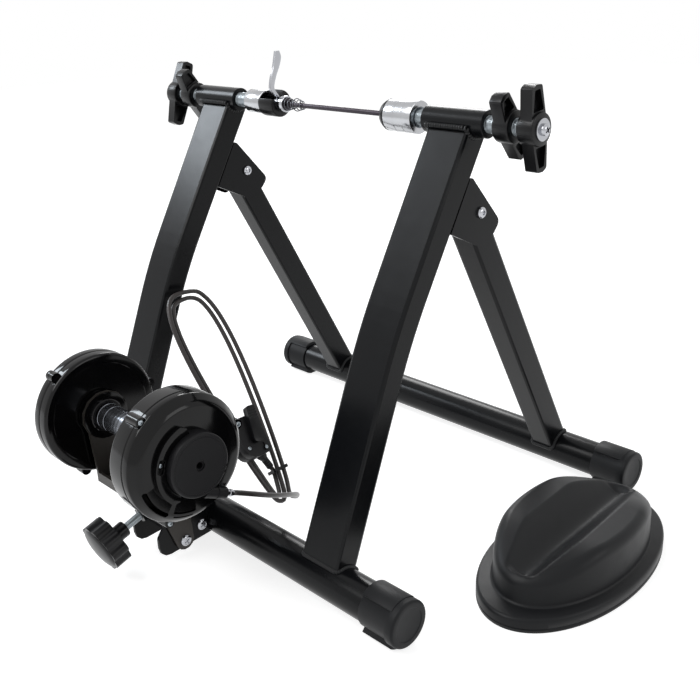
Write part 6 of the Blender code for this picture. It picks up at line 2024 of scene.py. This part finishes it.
@dataclass
class HingeBolts:
    """The bolts that the rear legs pivot on: a domed bright head, spacer sleeves and a nut."""

    y: float = 0.1837
    z: float = 0.3207
    radius: float = 0.004
    sleeve: float = 0.0062
    nut: float = 0.0072
    head: float = 0.0053
    ear: float = 0.0025

    def build(self) -> None:
        """Build both bolts."""
        for hand in ("left", "right"):
            low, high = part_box(hand + "_hinge_bolt")
            ears = [corner.x - ORIGIN.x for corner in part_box(hand + "_hinge_bracket")]
            leg = [corner.x - ORIGIN.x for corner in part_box(hand + "_rear_leg")]
            self.bolt(hand + "_hinge_bolt", (low.x - ORIGIN.x, high.x - ORIGIN.x), ears, leg)

    def bolt(self, name: str, ends: Pair, ears: list[float], leg: list[float]) -> None:
        """Build one bolt along X.

        Args:
            name: The bolt's name.
            ends: Where its solid starts and ends.
            ears: The bracket's outer faces.
            leg: The leg's two faces.
        """
        r, s, h = self.radius, self.sleeve, self.head
        low, high, seat = ends[0], ends[1] - 0.0014, ears[1] + 0.0001
        inner, outer = ears[0] + self.ear + CLEAR, ears[1] - self.ear - CLEAR
        first, last = leg[0] - CLEAR, leg[1] + CLEAR
        profile = [(low, 0.0), (low, r), (inner, r), (inner, s), (first, s), (first, r), (last, r), (last, s)]
        profile += [(outer, s), (outer, r), (seat, r), (seat, h), (high - 0.0022, h)]
        profile += [(high - 0.0012, 0.9 * h), (high - 0.0004, 0.66 * h), (high, 0.4 * h)]
        profile += [(high - 0.0018, 0.36 * h), (high - 0.0018, 0.0)]
        item = Form.lathe(name, profile, Vector((0.0, self.y, self.z)), AXIS_X, 64)
        hexagon = arc((self.y, self.z), self.nut, 0.0, 300.0, 5)
        item.join(Form.plate(name + "_nut", hexagon, low + 0.0012, ears[0] - 0.0001))
        item.soften(0.0003, 2, 40.0).settle(CHROME, "stand", name)


@dataclass
class RiserBlock:
    """The moulded block for the front wheel: an oval foot, a crested body and a wheel groove."""

    x: float = 0.292
    y: float = 0.196
    turn: float = 3.4
    half_width: float = 0.0684
    half_length: float = 0.1237
    flange: float = 0.0135
    inset: float = 0.0115
    height: float = 0.056
    end_height: float = 0.0395
    plateau: float = 0.3
    crest_end: float = 0.97
    groove_depth: float = 0.026
    groove_half: float = 0.030
    groove_end: float = 0.88
    rounding: float = 0.010
    rings: int = 150
    spokes: int = 240

    def build(self) -> None:
        """Mould the block as one skin over an oval grid."""
        turn = Matrix.Rotation(math.radians(self.turn), 3, "Z")
        middle = Vector((self.x, self.y, 0.0))
        shape = bmesh.new()
        rows = []
        for share, height in self.profile():
            row = []
            for angle in full_turn(self.spokes):
                y, x = share * math.sin(angle), share * math.cos(angle)
                across, along = x * self.half_width, y * self.half_length
                z = self.top(across, along) if height is None else height
                row.append(shape.verts.new(middle + turn @ Vector((across, along, z))))
            rows.append(row)
        skin(shape, rows)
        peak = shape.verts.new(middle + Vector((0.0, 0.0, self.top(0.0, 0.0))))
        base = shape.verts.new(middle)
        for spoke in range(self.spokes):
            after = (spoke + 1) % self.spokes
            shape.faces.new((rows[0][after], rows[0][spoke], peak))
            shape.faces.new((rows[-1][spoke], rows[-1][after], base))
        name = "front_wheel_riser_block"
        Form(name, shape).settle(BLOCK_PE, "riser", name, smooth=55.0)

    def profile(self) -> list[tuple[float, float | None]]:
        """List the skin's rows from the middle outwards.

        Returns:
            Each row's share of the oval, and its height where that is fixed.
        """
        body = 1.0 - self.inset / self.half_width
        foot = self.flange
        rows: list[tuple[float, float | None]] = []
        rows += [(body * step / self.rings, None) for step in range(1, self.rings + 1)]
        rows += [(body + 0.006, foot + 0.0025), (body + 0.016, foot + 0.0006), (body + 0.030, foot)]
        rows += [(0.972, foot), (0.986, foot - 0.0006), (0.996, foot - 0.0018), (1.0, foot - 0.0034)]
        rows += [(1.0, 0.0046), (0.994, 0.0042), (0.994, 0.0036), (1.0, 0.0032), (1.0, 0.0006)]
        rows += [(0.994, 0.0), (0.5, 0.0)]
        return rows

    def top(self, across: float, along: float) -> float:
        """Find the body's height at a point.

        Args:
            across: How far the point lies from the middle across the groove.
            along: How far it lies along the groove.

        Returns:
            The height over the floor.
        """
        share = abs(along / (self.half_length - self.inset))
        fall = soft_step((share - self.plateau) / (self.crest_end - self.plateau))
        crest = self.height - (self.height - self.end_height) * fall
        reach = min(abs(across) / self.groove_half, 1.0)
        floor = self.height - self.groove_depth
        groove = floor + self.groove_depth * (0.25 - 0.25 * math.cos(math.pi * reach) + 0.5 * reach**2)
        inside = soft_step((self.groove_end - share) / 0.10)
        sunk = min(crest, groove) * inside + crest * (1.0 - inside)
        soft = 0.0035
        gap = crest - sunk
        blended = crest - gap * gap / (gap + soft) if gap > 0 else crest
        oval = math.hypot(along / self.half_length, across / self.half_width)
        oval /= 1.0 - self.inset / self.half_width
        edge = min(max((1.0 - oval) / 0.16, 0.0), 1.0)
        drop = (1.0 - math.sqrt(max(1.0 - (1.0 - edge) ** 2, 0.0))) * self.rounding
        return max(blended - drop, self.flange + 0.0025)


def main() -> None:
    """Build the trainer's looks sub-assembly by sub-assembly."""
    logging.basicConfig(level=logging.INFO, format="%(name)s: %(message)s")
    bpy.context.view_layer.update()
    first = [Studio, BaseTubes, FootCaps, AxleClamps, Skewer]
    second = [ResistanceUnit, Cable, Shifter, HingeBolts, RiserBlock]
    for assembly in first + second:
        LOG.info("building %s", assembly.__name__)
        assembly().build()


if __name__ == "__main__":
    main()
